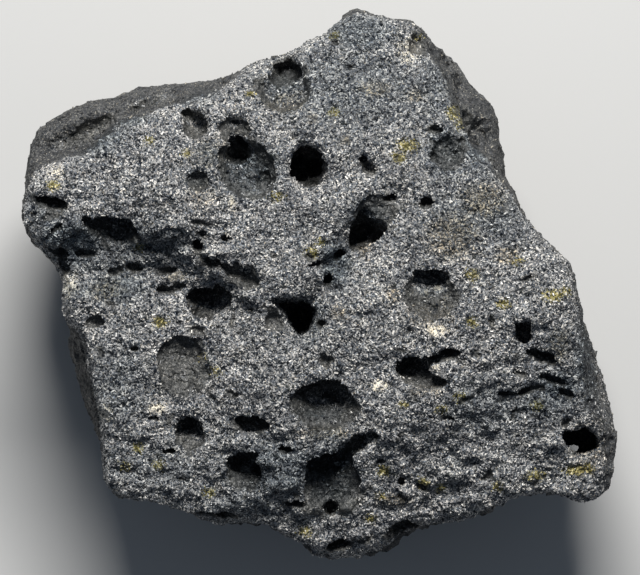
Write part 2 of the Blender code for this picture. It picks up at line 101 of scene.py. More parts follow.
def remeshed(piece, net):
    remesh = piece.modifiers.new("Even net", "REMESH")
    remesh.mode = "VOXEL"
    remesh.voxel_size = net * MM
    baked(piece)


shape = bmesh.new()
shape.from_mesh(bpy.data.objects["basalt"].data)
bmesh.ops.remove_doubles(shape, verts=shape.verts, dist=MERGE * MM)
mesh = bpy.data.meshes.new("basalt_rock")
shape.to_mesh(mesh)
shape.free()
rock = bpy.data.objects.new("basalt_rock", mesh)
bpy.context.collection.objects.link(rock)
remeshed(rock, FIRST_NET)
smooth = rock.modifiers.new("Facets off", "SMOOTH")
smooth.iterations = FACET_ROUNDS
baked(rock)
remeshed(rock, WORK_NET)

# The fresh face: its level, and how it tips away past a distance in a direction.
FACE_LEVEL = 38.0
FACE_SLOPES = (((0.0, 1.0), 12.0, 0.12), ((0.0, -1.0), 4.0, 0.19), ((0.45, -0.9), 20.0, 0.20))

# A spot on the face, seen from above: middle, half size in X and Y, and strength. It has faded
# out at this many half sizes.
Spot = namedtuple("Spot", "x y wide long strength", defaults=(1.3,))
SPOT_EDGE = 1.3

# Where the face's level is taken: in a ring of places around a hole's mouth, from this height.
RING = 12
RING_REACH = 1.2
LOOKED_FROM = 1000


def smoothstep(value):
    value = np.clip(value, 0.0, 1.0)
    return value * value * (3.0 - 2.0 * value)


def below_face(points):
    """How far each point lies below the fresh face."""
    level = np.full(len(points), FACE_LEVEL)
    for way, start, steepness in FACE_SLOPES:
        level -= steepness * np.maximum(0, points[:, :2] @ np.array(way) - start)
    return level - points[:, 2]


def spots(points, places):
    """The strength of the strongest spot at each point."""
    most = np.zeros(len(points))
    for spot in places:
        off = np.hypot((points[:, 0] - spot.x) / spot.wide, (points[:, 1] - spot.y) / spot.long)
        most = np.maximum(most, spot.strength * smoothstep(SPOT_EDGE - off))
    return most


def level_at(x, y):
    """Level of the rock's upper surface at a place, or None beside the rock."""
    hit, place, _, _ = rock.ray_cast(Vector((x * MM, y * MM, LOOKED_FROM * MM)), Vector((0, 0, -1)))
    return place.z / MM if hit else None


def face_level(x, y, wide, long):
    """Level of the face around a hole's mouth."""
    levels = []
    for way in np.linspace(0, 2 * np.pi, RING, endpoint=False):
        at_x = x + 0.5 * RING_REACH * wide * np.cos(way)
        at_y = y + 0.5 * RING_REACH * long * np.sin(way)
        level = level_at(at_x, at_y)
        if level is not None:
            levels.append(level)
    return float(np.median(levels))


# Bowls with flat floors: the strength is how much of their depth is filled up.
FILLED = (
    Spot(0.5, -17.4, 4.4, 2.2, 0.35), Spot(14.9, -1.4, 3.8, 3.4, 0.32), Spot(8.4, 9.8, 2.8, 2.8, 0.85),
    Spot(-9.6, 15.0, 4.6, 3.8, 0.15), Spot(-18.3, -10.6, 3.6, 4.2, 0.62), Spot(13.2, -13.0, 3.6, 1.6, 0.4),
    Spot(-11.2, 20.5, 2.0, 1.5, 0.45), Spot(-7.0, 13.9, 1.6, 1.6, 0.3), Spot(-17.3, -21.0, 1.8, 1.5, 0.55),
    Spot(0.9, -26.2, 3.4, 2.6, 0.45),
)

# The step across the left half: its edge, its height and how far in front of the edge it is reached.
STEP_EDGE = (
    (-39.8, 7.6), (-34.7, 8.2), (-29.3, 9.9), (-22.6, 8.8), (-17.2, 7.2), (-12.5, 3.6), (-7.6, 0.4),
    (-2.5, -1.6),
)
STEP_DROP = 4.8
STEP_WIDTH = 8.0

# Towards the middle the step fades out: from where to where in X, how much of its height goes, how
# much of that holds in front, how soon the rest dies out, and where the fading ends and how long it is.
STEP_FADE = (-15.0, -6.5)
STEP_FADED = 0.7
FADED_HOLDS = 0.5
FADED_REACH = 12.0
FADE_END = (1.0, 7.0)

# The rim is drawn up, so that the fresh face runs out to a crisp edge: net of the levels, how far
# in it reaches, how far down, how much, and the spots that are old and keep their roundness.
RIM_NET = 0.6
RIM_REACH = 3.6
RIM_HEIGHT = 13.0
RIM_DRAW = 0.85
WORN_RIM = (
    Spot(-30.0, 22.5, 14.0, 8.0), Spot(26.0, 25.0, 8.5, 9.5), Spot(38.0, -8.0, 4.5, 10.0),
    Spot(-32.0, -14.0, 4.0, 7.0),
)

points = points_of(rock.data)
for bowl in FILLED:
    down = face_level(bowl.x, bowl.y, 2 * bowl.wide, 2 * bowl.long) - points[:, 2]
    near = spots(points, (bowl,)) * ((down > 0) & (down < RIM_HEIGHT))
    points[:, 2] += near * down

past_step = np.interp(points[:, 0], *np.array(STEP_EDGE).T) - points[:, 1]
start, end = STEP_FADE
last, fade = FADE_END
refill = STEP_FADED * smoothstep((points[:, 0] - start) / (end - start))
refill *= smoothstep((last - points[:, 0]) / fade)
refill *= STEP_DROP * smoothstep(past_step / STEP_WIDTH)
refill *= FADED_HOLDS + (1 - FADED_HOLDS) * np.exp(-np.maximum(past_step, 0) / FADED_REACH)
points[:, 2] += refill * (below_face(points) < RIM_HEIGHT)

# Levels over a net seen from above, and the places of the net just outside the rock.
low, high = points.min(axis=0), points.max(axis=0)
across = np.arange(low[0] - RIM_NET, high[0] + 2 * RIM_NET, RIM_NET)
along = np.arange(low[1] - RIM_NET, high[1] + 2 * RIM_NET, RIM_NET)
levels = np.array([[level_at(x, y) or -1.0 for y in along] for x in across])
found = levels > 0
beside = found[:-2, 1:-1] | found[2:, 1:-1] | found[1:-1, :-2] | found[1:-1, 2:]
outline = np.argwhere(~found[1:-1, 1:-1] & beside) + 1
nearest = KDTree(len(outline))
for number, (i, j) in enumerate(outline):
    nearest.insert((across[i], along[j], 0), number)
nearest.balance()

draw = RIM_DRAW * (1 - np.minimum(1, spots(points, WORN_RIM)))
for number in np.flatnonzero((draw > 0) & (points[:, 2] > FACE_LEVEL / 2)):
    place = Vector((*points[number, :2], 0))
    edge, _, off = nearest.find(place)
    if not 0 < off < RIM_REACH:
        continue
    further = edge + (place - edge) * (RIM_REACH / off)
    i, j = round((further.x - across[0]) / RIM_NET), round((further.y - along[0]) / RIM_NET)
    if not (0 <= i < len(across) and 0 <= j < len(along)):
        continue
    down = levels[i, j] - points[number, 2]
    if 0 < down < RIM_HEIGHT:
        points[number, 2] += draw[number] * down * (1 - down / RIM_HEIGHT)
set_points(rock.data, points)

# Noise for each seed is read at its own place, and each block has its own chance and tilt.
LUMP_SHIFT = (13.7, 5.1, 9.3)
BLOCK_SHIFT = (7.3, 3.9, 11.1)
BLOCK_SPREAD = 57.3
BLOCK_TILT = 1.2

# Blocks that the break leaves standing or takes out, and soft lumps: size across and height.
BLOCKS = ((3.2, 0.30), (1.7, 0.34), (0.95, 0.24))
SOFT_LUMPS = ((5.0, 0.3), (0.7, 0.16))
BLOCK_SEED = 1
LUMP_SEED = 11

# Ledges: distance from one to the next, height, how far they wander and over what length. They
# run long in X, wander a little more over a part of their distance, and come in patches.
Ledges = namedtuple("Ledges", "spacing rise wander reach seed")
LEDGES = (
    Ledges(3.8, 0.7, 1.1, 6.0, 21), Ledges(2.0, 0.65, 1.3, 3.4, 22), Ledges(1.15, 0.5, 1.4, 2.0, 23),
)
LEDGE_RUN = (0.45, 1.0, 0.6)
LEDGE_SHARPNESS = 5
LEDGE_OVERHANG = 0.7
FINE_WANDER = 0.35
FINE_REACH = 0.7
PATCH_REACH = 1.1
PATCH_SHARPNESS = 1.8

# Where the break is ledged: how much on the quiet back part, from where to where it grows towards
# the front, how much there, how much on the old breaks, and the most ragged spots.
QUIET_LEDGES = 0.2
LEDGED_BELOW = (8.0, -20.0)
PLAIN_LEDGES = 0.7
OLD_LEDGES = 0.35
RAGGED_SPOTS = [Spot(*spot) for spot in (
    (32.0, -15.0, 5.0, 4.5), (20.4, -19.0, 5.5, 4.5), (-7.8, -25.0, 7.5, 6.0, 1.6),
    (-34.6, 5.2, 6.0, 4.6, 1.4), (-6.4, -3.6, 4.0, 4.5), (1.6, 1.8, 4.0, 4.0, 1.6),
    (-26.0, 4.6, 8.0, 4.0, 1.3), (-17.0, 3.6, 7.0, 4.2, 0.9), (26.0, -11.5, 5.0, 3.0),
    (-1.0, -30.5, 9.0, 2.6), (-12.0, 6.4, 8.0, 3.2, 0.8), (9.0, -20.0, 4.0, 2.5, 0.8),
    (-35.0, 10.0, 5.0, 3.0, 1.3), (-31.0, -1.0, 4.0, 3.0, 0.8),
)]

# The fresh break: how deep below the face it ends, over what distance, and which slopes face up.
FRESH_DEPTH = 7.0
FRESH_BLEND = 3.0
UPWARD = (0.15, 0.6)

# The step is ragged this far behind and in front of its edge, has this much of the ledges, and
# sinks this far.
STEP_BEHIND = 3.5
STEP_BEFORE = 10.5
STEP_LEDGED = 1.25
STEP_SINK = 1.5

# How craggy the rock is on its plain parts, on ledges, on the step and along the front rim, and
# where in Y that rim starts and is full.
PLAIN_CRAGS = 0.75
LEDGE_CRAGS = 0.85
STEP_CRAGS = 1.0
FRONT_CRAGS = 0.9
FRONT = (-22.0, -29.0)

# The bevelled rim on the right: its inner edge as Y and X, its end, and the groove outside it.
BEVEL_EDGE = ((-24.0, 37.8), (-19.7, 37.2), (-16.6, 35.3), (-6.2, 34.5), (2.9, 33.1))
BEVEL_END = 3.5
BEVEL_GROOVE = 0.9
BEVEL_BEAD = 0.8


def lumps(points, size, seed):
    """Smooth noise between -1 and 1 with lumps about one size across."""
    shift = Vector([seed * way for way in LUMP_SHIFT])
    return np.array([noise.noise(Vector(p) / size + shift) for p in points.tolist()])


def blocks(points, size, seed):
    """Angular blocks about one size across, each set in or out and tilted its own way."""
    shift = Vector([seed * way for way in BLOCK_SHIFT])
    heights = []
    for point in points.tolist():
        at = Vector(point) / size + shift
        middle = noise.voronoi(at)[1][0]
        chance = noise.cell_vector(middle * BLOCK_SPREAD) - Vector((0.5, 0.5, 0.5))
        heights.append(chance.z + BLOCK_TILT * chance.dot(at - middle))
    return np.array(heights)


def ledge_height(points, ledges):
    """Treads that sink slowly towards the back, each ending in a sharp rise."""
    ground = points * np.array(LEDGE_RUN)
    wander = ledges.wander * lumps(ground, ledges.reach, ledges.seed)
    wander += FINE_WANDER * lumps(ground, ledges.spacing * FINE_REACH, ledges.seed + 5)
    tread = np.mod(points[:, 1] / ledges.spacing + wander, 1.0)
    patch = lumps(ground, ledges.spacing * PATCH_REACH, ledges.seed + 9)
    patch = smoothstep(0.5 + PATCH_SHARPNESS * patch)
    return ledges.rise * patch * (0.5 - np.minimum(tread, (1 - tread) * LEDGE_SHARPNESS))


def near_front(points):
    """0 to 1 towards the front rim."""
    return smoothstep((FRONT[0] - points[:, 1]) / (FRONT[0] - FRONT[1]))


def past_bevel(points):
    """How far each point lies outside the edge of the bevelled right rim, where it runs."""
    past = points[:, 0] - np.interp(points[:, 1], *np.array(BEVEL_EDGE).T)
    return np.where(points[:, 1] < BEVEL_END, past, -FACE_LEVEL)


normals = normals_of(rock.data)
facing_up = smoothstep((normals[:, 2] - UPWARD[0]) / (UPWARD[1] - UPWARD[0]))
fresh = smoothstep((FRESH_DEPTH - below_face(points)) / FRESH_BLEND) * facing_up
start, full = LEDGED_BELOW
ledged = QUIET_LEDGES + (1 - QUIET_LEDGES) * smoothstep((start - points[:, 1]) / (start - full))
ledged = np.maximum(ledged * PLAIN_LEDGES, spots(points, RAGGED_SPOTS))
ledged *= OLD_LEDGES + (1 - OLD_LEDGES) * fresh
on_step = smoothstep((STEP_FADE[1] - points[:, 0]) / STEP_WIDTH) * fresh
on_step *= smoothstep(past_step / STEP_BEHIND + 1) * smoothstep((STEP_BEFORE - past_step) / STEP_WIDTH)
ledged = np.maximum(ledged, STEP_LEDGED * on_step)
height = sum(ledge_height(points, ledges) for ledges in LEDGES) * ledged
height -= STEP_SINK * on_step * smoothstep(past_step / STEP_WIDTH)
height -= BEVEL_GROOVE * np.exp(-((past_bevel(points) - BEVEL_BEAD) / BEVEL_BEAD) ** 2)
rough = sum(rise * blocks(points, size, BLOCK_SEED + n) for n, (size, rise) in enumerate(BLOCKS))
rough *= PLAIN_CRAGS + LEDGE_CRAGS * ledged + STEP_CRAGS * on_step + FRONT_CRAGS * near_front(points)
rough += sum(rise * lumps(points, size, LUMP_SEED + n) for n, (size, rise) in enumerate(SOFT_LUMPS))
points += normals * rough[:, None]
points[:, 2] += height * facing_up
points[:, 1] -= LEDGE_OVERHANG * height * facing_up
points[:, 2] = np.maximum(points[:, 2], 0)
set_points(rock.data, points)
remeshed(rock, WORK_NET)

# Gas holes of the fresh face: middle of the mouth, size of the mouth in X and Y before its turn,
# depth, lean of the hole in under its far rim, and turn about Z.
Hole = namedtuple("Hole", "x y wide long depth lean turn", defaults=(0, 0))
FACE_HOLES = [Hole(*hole) for hole in (
    (-4.6, 25.8, 6.6, 6.4, 1.5), (-4.5, 28.0, 5.0, 2.5, 4.6, 20, 14), (-16.4, 20.9, 3.1, 3.2, 2.6, 6),
    (-17.5, 22.5, 1.7, 1.6, 1.8), (-11.2, 20.4, 4.2, 3.0, 1.3), (-11.2, 21.5, 1.6, 0.8, 1.0, 14),
    (-10.9, 17.1, 3.2, 2.6, 4.6, 6), (-9.6, 15.2, 8.6, 6.4, 2.2, 0, -42),
    (-7.2, 13.7, 2.2, 2.8, 1.1, 0, -20), (-2.6, 15.6, 3.0, 4.0, 8.0, 6), (-2.7, 17.5, 2.2, 2.2, 6.0, 10),
    (-0.7, 15.5, 3.4, 2.4, 6.0, 4), (-3.4, 15.0, 2.0, 2.4, 6.0), (-1.2, 13.5, 2.3, 1.9, 2.2),
    (5.9, 16.6, 1.2, 1.4, 2.6, 8), (6.6, 15.3, 1.5, 2.2, 1.5, 0, 25), (-16.1, 13.7, 3.2, 2.6, 1.4, 8),
    (7.6, 9.2, 5.6, 5.0, 1.2), (5.5, 6.5, 4.6, 2.4, 4.6, 0, 38), (7.9, 6.0, 3.6, 2.0, 3.8, 0, -12),
    (9.6, 11.5, 2.0, 1.2, 2.6, 12), (14.4, 10.8, 2.2, 1.4, 2.4, 12), (-27.5, 7.3, 6.0, 3.6, 3.8, 20, -24),
    (-30.0, 8.2, 3.6, 1.8, 2.0, 16, -12), (-35.7, 10.9, 4.4, 1.7, 3.6, 34, -15),
    (-36.0, 8.8, 2.0, 1.0, 1.6, 30), (-34.6, 4.2, 3.4, 2.4, 2.4, 16, -38), (-16.1, 5.1, 1.5, 2.0, 3.0, 14),
    (-15.5, 6.6, 1.2, 1.0, 1.6), (-15.3, -1.7, 4.6, 3.0, 5.0, 22), (-12.6, -1.2, 3.2, 2.4, 3.4, 20, -30),
    (-10.4, 1.2, 5.6, 2.8, 1.6, 4, -34), (-14.2, 2.9, 3.4, 1.3, 1.8, 20, 4), (1.1, 0.5, 1.8, 1.5, 2.8, 12),
    (2.7, 4.0, 1.8, 1.5, 2.0, 12), (14.9, -1.6, 6.8, 6.0, 1.6), (14.9, 0.8, 5.2, 2.2, 3.4, 22, -6),
    (0.5, -15.9, 8.2, 6.0, 3.2, 14), (0.6, -14.5, 7.0, 3.2, 5.6, 20), (12.1, -11.2, 3.6, 3.4, 3.6, 16, 10),
    (14.0, -10.3, 4.6, 1.7, 3.4, 26, 12), (17.2, -9.3, 3.4, 1.7, 3.8, 26, 14),
    (14.2, -12.9, 6.0, 2.0, 2.4, 14, -4), (-18.4, -10.6, 6.2, 7.6, 1.6, 0, 14),
    (-17.6, -9.4, 4.0, 3.6, 1.5), (-17.3, -19.3, 3.7, 2.6, 3.0, 16), (-17.3, -20.4, 3.7, 4.2, 1.6, 6),
    (-8.7, -18.6, 4.6, 2.4, 4.2, 24), (-10.1, -18.2, 2.0, 1.7, 2.6, 14), (-9.8, -24.7, 4.5, 4.9, 2.5, 6),
    (-10.3, -23.9, 3.5, 2.9, 4.0, 20), (-8.7, -22.9, 1.5, 1.5, 2.6, 14), (-8.3, -25.0, 1.8, 1.7, 2.6, 10),
    (1.5, -26.4, 7.8, 8.4, 2.4, 4), (1.1, -23.9, 5.6, 3.2, 3.8, 22, 20),
    (3.4, -22.6, 4.2, 2.0, 3.8, 26, 26), (6.2, -20.7, 4.6, 1.4, 2.6, 28, 16), (1.5, -30.1, 1.8, 2.0, 4.0),
    (30.0, -9.9, 3.9, 1.3, 3.0, 26, -18), (28.6, -9.2, 2.0, 1.2, 2.4, 20, -10),
    (31.3, -12.7, 3.8, 1.3, 1.4, 16, -20), (33.2, -14.8, 2.8, 1.2, 1.4, 16, -24),
    (29.4, -14.0, 2.6, 0.9, 1.1, 16, -12), (26.8, -12.2, 2.4, 0.9, 1.0, 16, -16),
    (0.9, -10.3, 1.9, 2.2, 1.0, 8), (0.5, -5.4, 1.4, 1.2, 2.0), (-29.9, -5.2, 2.7, 1.9, 1.2, 20),
    (13.5, 31.9, 3.4, 3.0, 3.0, 14), (20.4, 20.6, 2.4, 5.6, 3.4, 6, 22), (22.4, 17.2, 1.8, 4.0, 2.6, 0, 26),
    (19.2, 19.0, 1.0, 1.1, 1.6), (-30.4, 20.6, 9.0, 2.2, 1.1, 0, 28), (-23.0, 24.2, 6.0, 1.6, 1.0, 0, 26),
    (21.2, 18.6, 2.2, 7.4, 1.5, 0, 22), (17.3, 17.2, 4.6, 4.6, 1.2, 0, -30),
    (15.6, 20.4, 2.0, 1.4, 1.6, 14), (15.4, 16.7, 1.3, 1.4, 1.8, 14), (-5.8, -5.1, 2.7, 2.9, 1.2, 8),
    (-27.0, 1.6, 2.8, 1.2, 1.1, 10, 12), (-24.6, 2.1, 2.6, 1.5, 1.5, 14, -14),
    (-20.2, 1.7, 3.2, 1.2, 1.2, 12, 10), (-20.6, -0.9, 3.2, 1.2, 1.4, 14, -10),
    (-18.6, -0.4, 2.0, 1.2, 1.1, 12, 14), (-31.2, 3.9, 3.4, 1.3, 1.2, 12, -8),
    (-35.4, 7.3, 3.0, 1.3, 1.2, 14, 10), (-15.8, 8.0, 3.4, 0.8, 0.9, 14, -8),
    (-0.4, 2.5, 2.4, 1.0, 1.7, 24, 12), (-22.0, -18.0, 1.7, 0.8, 1.6, 30),
    (-20.0, -22.5, 2.0, 0.9, 1.8, 30), (-4.4, -22.2, 2.2, 1.0, 2.0, 30, 8),
    (-3.1, -29.5, 2.8, 1.1, 2.4, 30), (25.1, -14.7, 2.8, 0.9, 1.8, 34), (17.3, -18.0, 2.5, 0.8, 1.6, 34),
    (11.1, -26.5, 1.2, 1.1, 2.0), (-13.8, -31.2, 5.9, 1.7, 4.0, 24), (11.3, -33.2, 4.4, 3.4, 6.0, 18),
    (2.6, -35.0, 3.6, 1.7, 3.4, 20, 12), (-12.4, 6.0, 1.3, 1.0, 1.6), (27.5, -14.4, 2.4, 1.1, 2.0, 30, 10),
    (-24.6, -8.8, 1.2, 1.0, 1.4, 10), (22.4, -26.0, 1.6, 0.8, 1.4, 20),
)]

# Form of a bubble: how much of its half depth the middle lies below the mouth, the lumps of its
# wall as rate and height, and how often its net is halved.
SUNK = 0.3
BUBBLE_LUMPS = ((1.6, 0.22), (4.6, 0.07))
BUBBLE_SHIFT = (3.1, 0, 1)
HOLE_ROUNDS = 4

gas = bpy.data.collections.new("gas_holes")
bpy.context.scene.collection.children.link(gas)


def gas_cutter(name, shape):
    """Keep a shape in millimetres as a cutter, out of the render."""
    shape.transform(Matrix.Scale(MM, 4))
    mesh = bpy.data.meshes.new(name)
    shape.to_mesh(mesh)
    shape.free()
    cutter = bpy.data.objects.new(name, mesh)
    gas.objects.link(cutter)


def bubble(radii, seed, rounds):
    """A gas bubble: a ball with lumpy walls."""
    shape = bmesh.new()
    bmesh.ops.create_icosphere(shape, subdivisions=rounds, radius=1.0)
    shift = Vector([seed * way for way in BUBBLE_SHIFT])
    for vert in shape.verts:
        at = vert.co.copy()
        for rate, lump in BUBBLE_LUMPS:
            vert.co *= 1.0 + lump * noise.noise(at * rate + shift)
    bmesh.ops.scale(shape, vec=radii, verts=shape.verts)
    return shape


# Each bubble's way back to its own round form, its radii and the level of its mouth.
lining_and_shade = []
for number, hole in enumerate(FACE_HOLES):
    widen = 0.5 / (1 - SUNK**2) ** 0.5
    half_depth = hole.depth / (1 + SUNK)
    radii = Vector((hole.wide * widen, hole.long * widen, half_depth))
    level = face_level(hole.x, hole.y, hole.wide, hole.long) - SUNK * half_depth
    place = Matrix.Translation((hole.x, hole.y, level))
    place @= Matrix.Rotation(radians(hole.turn), 4, "Z") @ Matrix.Rotation(radians(hole.lean), 4, "X")
    shape = bubble(radii, number, HOLE_ROUNDS)
    shape.transform(place)
    lining_and_shade.append((np.array(place.inverted()), np.array(radii), level + SUNK * half_depth))
    gas_cutter(f"gas_{number}", shape)

# Small holes among the crystals of the fresh face, and crisp bubbles over the worn sides: how many,
# smallest and largest radius, how much the small ones lead, and how deep each middle lies. Among
# the ledges the small holes are drawn out along them, and turned only a little.
Scatter = namedtuple("Scatter", "count smallest largest bias sink seed stretch swing", defaults=(1, 1))
VUGS = Scatter(300, 0.18, 0.55, 2.2, 0.2, 7, stretch=1.9, swing=0.12)
SIDE_BUBBLES = Scatter(150, 0.45, 1.9, 2.4, 0.2, 8)
SECOND_WIDTH = (0.6, 1.0)
DEPTH = (0.9, 1.5)
SMALL_BUBBLE = 1
SMALL_ROUNDS = 2
LARGE_ROUNDS = 3

# Where they may be: how steep and how far below the face, and clear of the flat on the floor.
OPEN_SLOPE = 0.4
SIDE_SLOPE = 0.3
OPEN_DEPTH = 7
SIDE_DEPTH = 5
CLEAR_OF_REST = 2.0


def scatter_bubbles(name, scatter, allowed):
    """Small bubbles over the allowed faces of the rock, clear of each other."""
    dice = random.Random(scatter.seed)
    found = []
    for number in dice.sample(allowed, len(allowed)):
        face = rock.data.polygons[number]
        size = scatter.smallest + (scatter.largest - scatter.smallest) * dice.random() ** scatter.bias
        middle = face.center / MM
        if any((middle - other).length < size + near for other, near in found):
            continue
        found.append((middle, size))
        radii = Vector((size, size * dice.uniform(*SECOND_WIDTH), size * dice.uniform(*DEPTH)))
        turn = dice.uniform(0, pi)
        if middle.y < LEDGED_BELOW[0]:
            radii.x *= scatter.stretch
            turn *= scatter.swing
        place = Matrix.Translation(middle - face.normal * size * scatter.sink)
        place @= face.normal.to_track_quat("Z", "Y").to_matrix().to_4x4()
        place @= Matrix.Rotation(turn, 4, "Z")
        shape = bubble(radii, number, SMALL_ROUNDS if size < SMALL_BUBBLE else LARGE_ROUNDS)
        shape.transform(place)
        lining_and_shade.append((np.array(place.inverted()), np.array(radii), middle.z + size))
        gas_cutter(f"{name}_{len(found)}", shape)
        if len(found) == scatter.count:
            return


face_points = np.array([face.center[:] for face in rock.data.polygons]) / MM
face_ways = np.array([face.normal[:] for face in rock.data.polygons])
deep = below_face(face_points)
open_face = (face_ways[:, 2] > OPEN_SLOPE) & (deep < OPEN_DEPTH)
scatter_bubbles("vug", VUGS, np.flatnonzero(open_face).tolist())
sides = (face_ways[:, 2] < SIDE_SLOPE) & (deep > SIDE_DEPTH) & (face_points[:, 2] > CLEAR_OF_REST)
scatter_bubbles("side_bubble", SIDE_BUBBLES, np.flatnonzero(sides).tolist())

# The three-cornered hole in the middle: its mouth, how deep it goes and how far it draws in.
WEDGE_MOUTH = ((-7.6, -1.7), (-1.6, -1.5), (0.4, -3.2), (-0.9, -5.8), (-2.7, -8.6), (-4.3, -4.6))
WEDGE_DEPTH = 10.0
WEDGE_TAPER = 0.6

# The hole near the right rim, and the narrow passage from its floor out through the underside:
# where it is, its radii, and the size of the ring where the face's level is taken.
EDGE_MOUTH = (
    (32.5, -19.5), (34.2, -19.7), (35.7, -19.0), (37.4, -20.3), (37.8, -21.9), (37.0, -22.6),
    (34.8, -23.0), (33.7, -22.5), (32.5, -21.1),
)
EDGE_DEPTH = 9.0
EDGE_TAPER = 0.9
PASSAGE = (34.4, -22.2)
PASSAGE_RADII = (0.95, 0.6)
PASSAGE_RING = (6.0, 4.0)
PASSAGE_SIDES = 9

# The squarish hole on the right, and how far a cutter stands out of the face.
SQUARE_MOUTH = ((25.8, -5.0), (28.6, -4.8), (28.7, -7.7), (27.8, -8.6), (26.1, -7.6))
SQUARE_DEPTH = 4.6
SQUARE_TAPER = 0.8
STANDS_OUT = 3.0


def angular_hole(name, mouth, depth, taper):
    """A hole with straight-sided walls that draw in with depth."""
    middle = np.mean(mouth, axis=0)
    wide, long = np.ptp(mouth, axis=0)
    level = face_level(*middle, wide, long)
    shape = bmesh.new()
    rim = [shape.verts.new((x, y, level + STANDS_OUT)) for x, y in mouth]
    lid = shape.faces.new(rim)
    walls = bmesh.ops.extrude_face_region(shape, geom=[lid])
    bottom = [v for v in walls["geom"] if isinstance(v, bmesh.types.BMVert)]
    bmesh.ops.translate(shape, verts=bottom, vec=(0, 0, -STANDS_OUT - depth))
    pivot = Matrix.Translation((-middle[0], -middle[1], 0))
    bmesh.ops.scale(shape, vec=(taper, taper, 1), space=pivot, verts=bottom)
    bmesh.ops.recalc_face_normals(shape, faces=shape.faces)
    gas_cutter(name, shape)


angular_hole("gas_wedge", WEDGE_MOUTH, WEDGE_DEPTH, WEDGE_TAPER)
angular_hole("gas_edge", EDGE_MOUTH, EDGE_DEPTH, EDGE_TAPER)
angular_hole("gas_square", SQUARE_MOUTH, SQUARE_DEPTH, SQUARE_TAPER)
shape = bmesh.new()
bmesh.ops.create_cone(shape, cap_ends=True, segments=PASSAGE_SIDES, radius1=1, radius2=1, depth=FACE_LEVEL)
bmesh.ops.scale(shape, vec=(*PASSAGE_RADII, 1), verts=shape.verts)
level = face_level(*PASSAGE, *PASSAGE_RING) - EDGE_DEPTH / 2
shape.transform(Matrix.Translation((*PASSAGE, level - FACE_LEVEL / 2)))
gas_cutter("gas_passage", shape)

cut = rock.modifiers.new("Gas holes", "BOOLEAN")
cut.operation = "DIFFERENCE"
cut.operand_type = "COLLECTION"
cut.collection = gas
cut.solver = "MANIFOLD"
baked(rock)
for cutter in list(gas.objects):
    bpy.data.objects.remove(cutter)
bpy.data.collections.remove(gas)

# The last net, the fine roughness on it, and the triangles that the finished rock keeps.
LAST_NET = 0.28
FINE_BLOCKS = ((0.85, 0.22), (0.5, 0.12))
FINE_LUMPS = (0.5, 0.08)
FINE_BLOCK_SEED = 31
FINE_LUMP_SEED = 35
UPPER_TRIANGLES = 122000
LOWER_TRIANGLES = 46000

# The upper side: faces that look up and are no deeper than this, and all that is near the face.
UPPER_SLOPE = 0.2
UPPER_DEPTH = 14
NEAR_FACE = 1.5


def thinned(piece, chosen, kept):
    """Thin out the faces around the chosen vertices, down to the number of triangles to keep there."""
    group = piece.vertex_groups.new(name="thin_here")
    group.add(np.flatnonzero(chosen).tolist(), 1.0, "REPLACE")
    corners = np.empty(len(piece.data.loops), int)
    piece.data.loops.foreach_get("vertex_index", corners)
    total = sum(len(face.vertices) - 2 for face in piece.data.polygons)
    share_here = chosen[corners].mean()
    thin = piece.modifiers.new("Thin out", "DECIMATE")
    thin.vertex_group = "thin_here"
    thin.ratio = (kept + total * (1 - share_here)) / total
    baked(piece)
    piece.vertex_groups.clear()


def upper_side(piece):
    """Whether each vertex belongs to the broken face and what can be seen from above it."""
    deep = below_face(points_of(piece.data))
    return (normals_of(piece.data)[:, 2] > UPPER_SLOPE) & (deep < UPPER_DEPTH) | (deep < NEAR_FACE)


remeshed(rock, LAST_NET)
points = points_of(rock.data)
rough = sum(rise * blocks(points, size, FINE_BLOCK_SEED + n) for n, (size, rise) in enumerate(FINE_BLOCKS))
rough += FINE_LUMPS[1] * lumps(points, FINE_LUMPS[0], FINE_LUMP_SEED)
points += normals_of(rock.data) * rough[:, None]
points[:, 2] = np.maximum(points[:, 2], 0)
set_points(rock.data, points)
thinned(rock, ~upper_side(rock), LOWER_TRIANGLES)
thinned(rock, upper_side(rock), UPPER_TRIANGLES)
points = points_of(rock.data)
points[:, 2] = np.maximum(points[:, 2], 0)
set_points(rock.data, points)

# Where the fresh break ends and the old skin starts, below which the colour is darkened as painted
# shade: the depth below the face, the distance over which it changes, how it wanders, and what is
# added on the lower left and along the front rim.
SKIN_DEPTH = 3.2
SKIN_BLEND = 3.0
SKIN_WANDER = ((7.0, 2.4, 41), (1.8, 1.8, 42))
LOWER_LEFT = ((12.0, 4.0), (2.0, -5.0))
LOWER_LEFT_DEPTH = 4.0
FRONT_DEPTH = 5.5
FRESH_RIM = (
    Spot(-38.0, 7.0, 5.5, 10.0), Spot(-33.0, -1.5, 4.5, 5.0), Spot(-1.0, 31.0, 13.0, 6.0),
    Spot(38.0, -26.0, 5.0, 5.5), Spot(29.5, 8.5, 6.0, 7.0),
)
FRESH_RIM_DEPTH = 5.0
# How much of the old skin, with its painted shade, the bevelled rim gets.
BEVEL_WORN = 0.87

# The lining of a gas hole, whose colour is also darkened as painted shade in the hole: from where to where
# it fades, in radii, and how far below the mouth.
LINED = (1.4, 1.2)
LINED_BELOW = 0.25

# How much a lining or an olivine cluster keeps grains away, and how much a lining dims olivine.
LINING_BARE = 0.95
LINING_OVER_OLIVINE = 0.5
OLIVINE_ALONE = 0.65

# Grains stand on slopes from this one on, over this change of slope, and clear of the floor.
GRAIN_SLOPE = -0.2
GRAIN_SLOPE_BLEND = 0.5
CLEAR_OF_FLOOR = 1.2

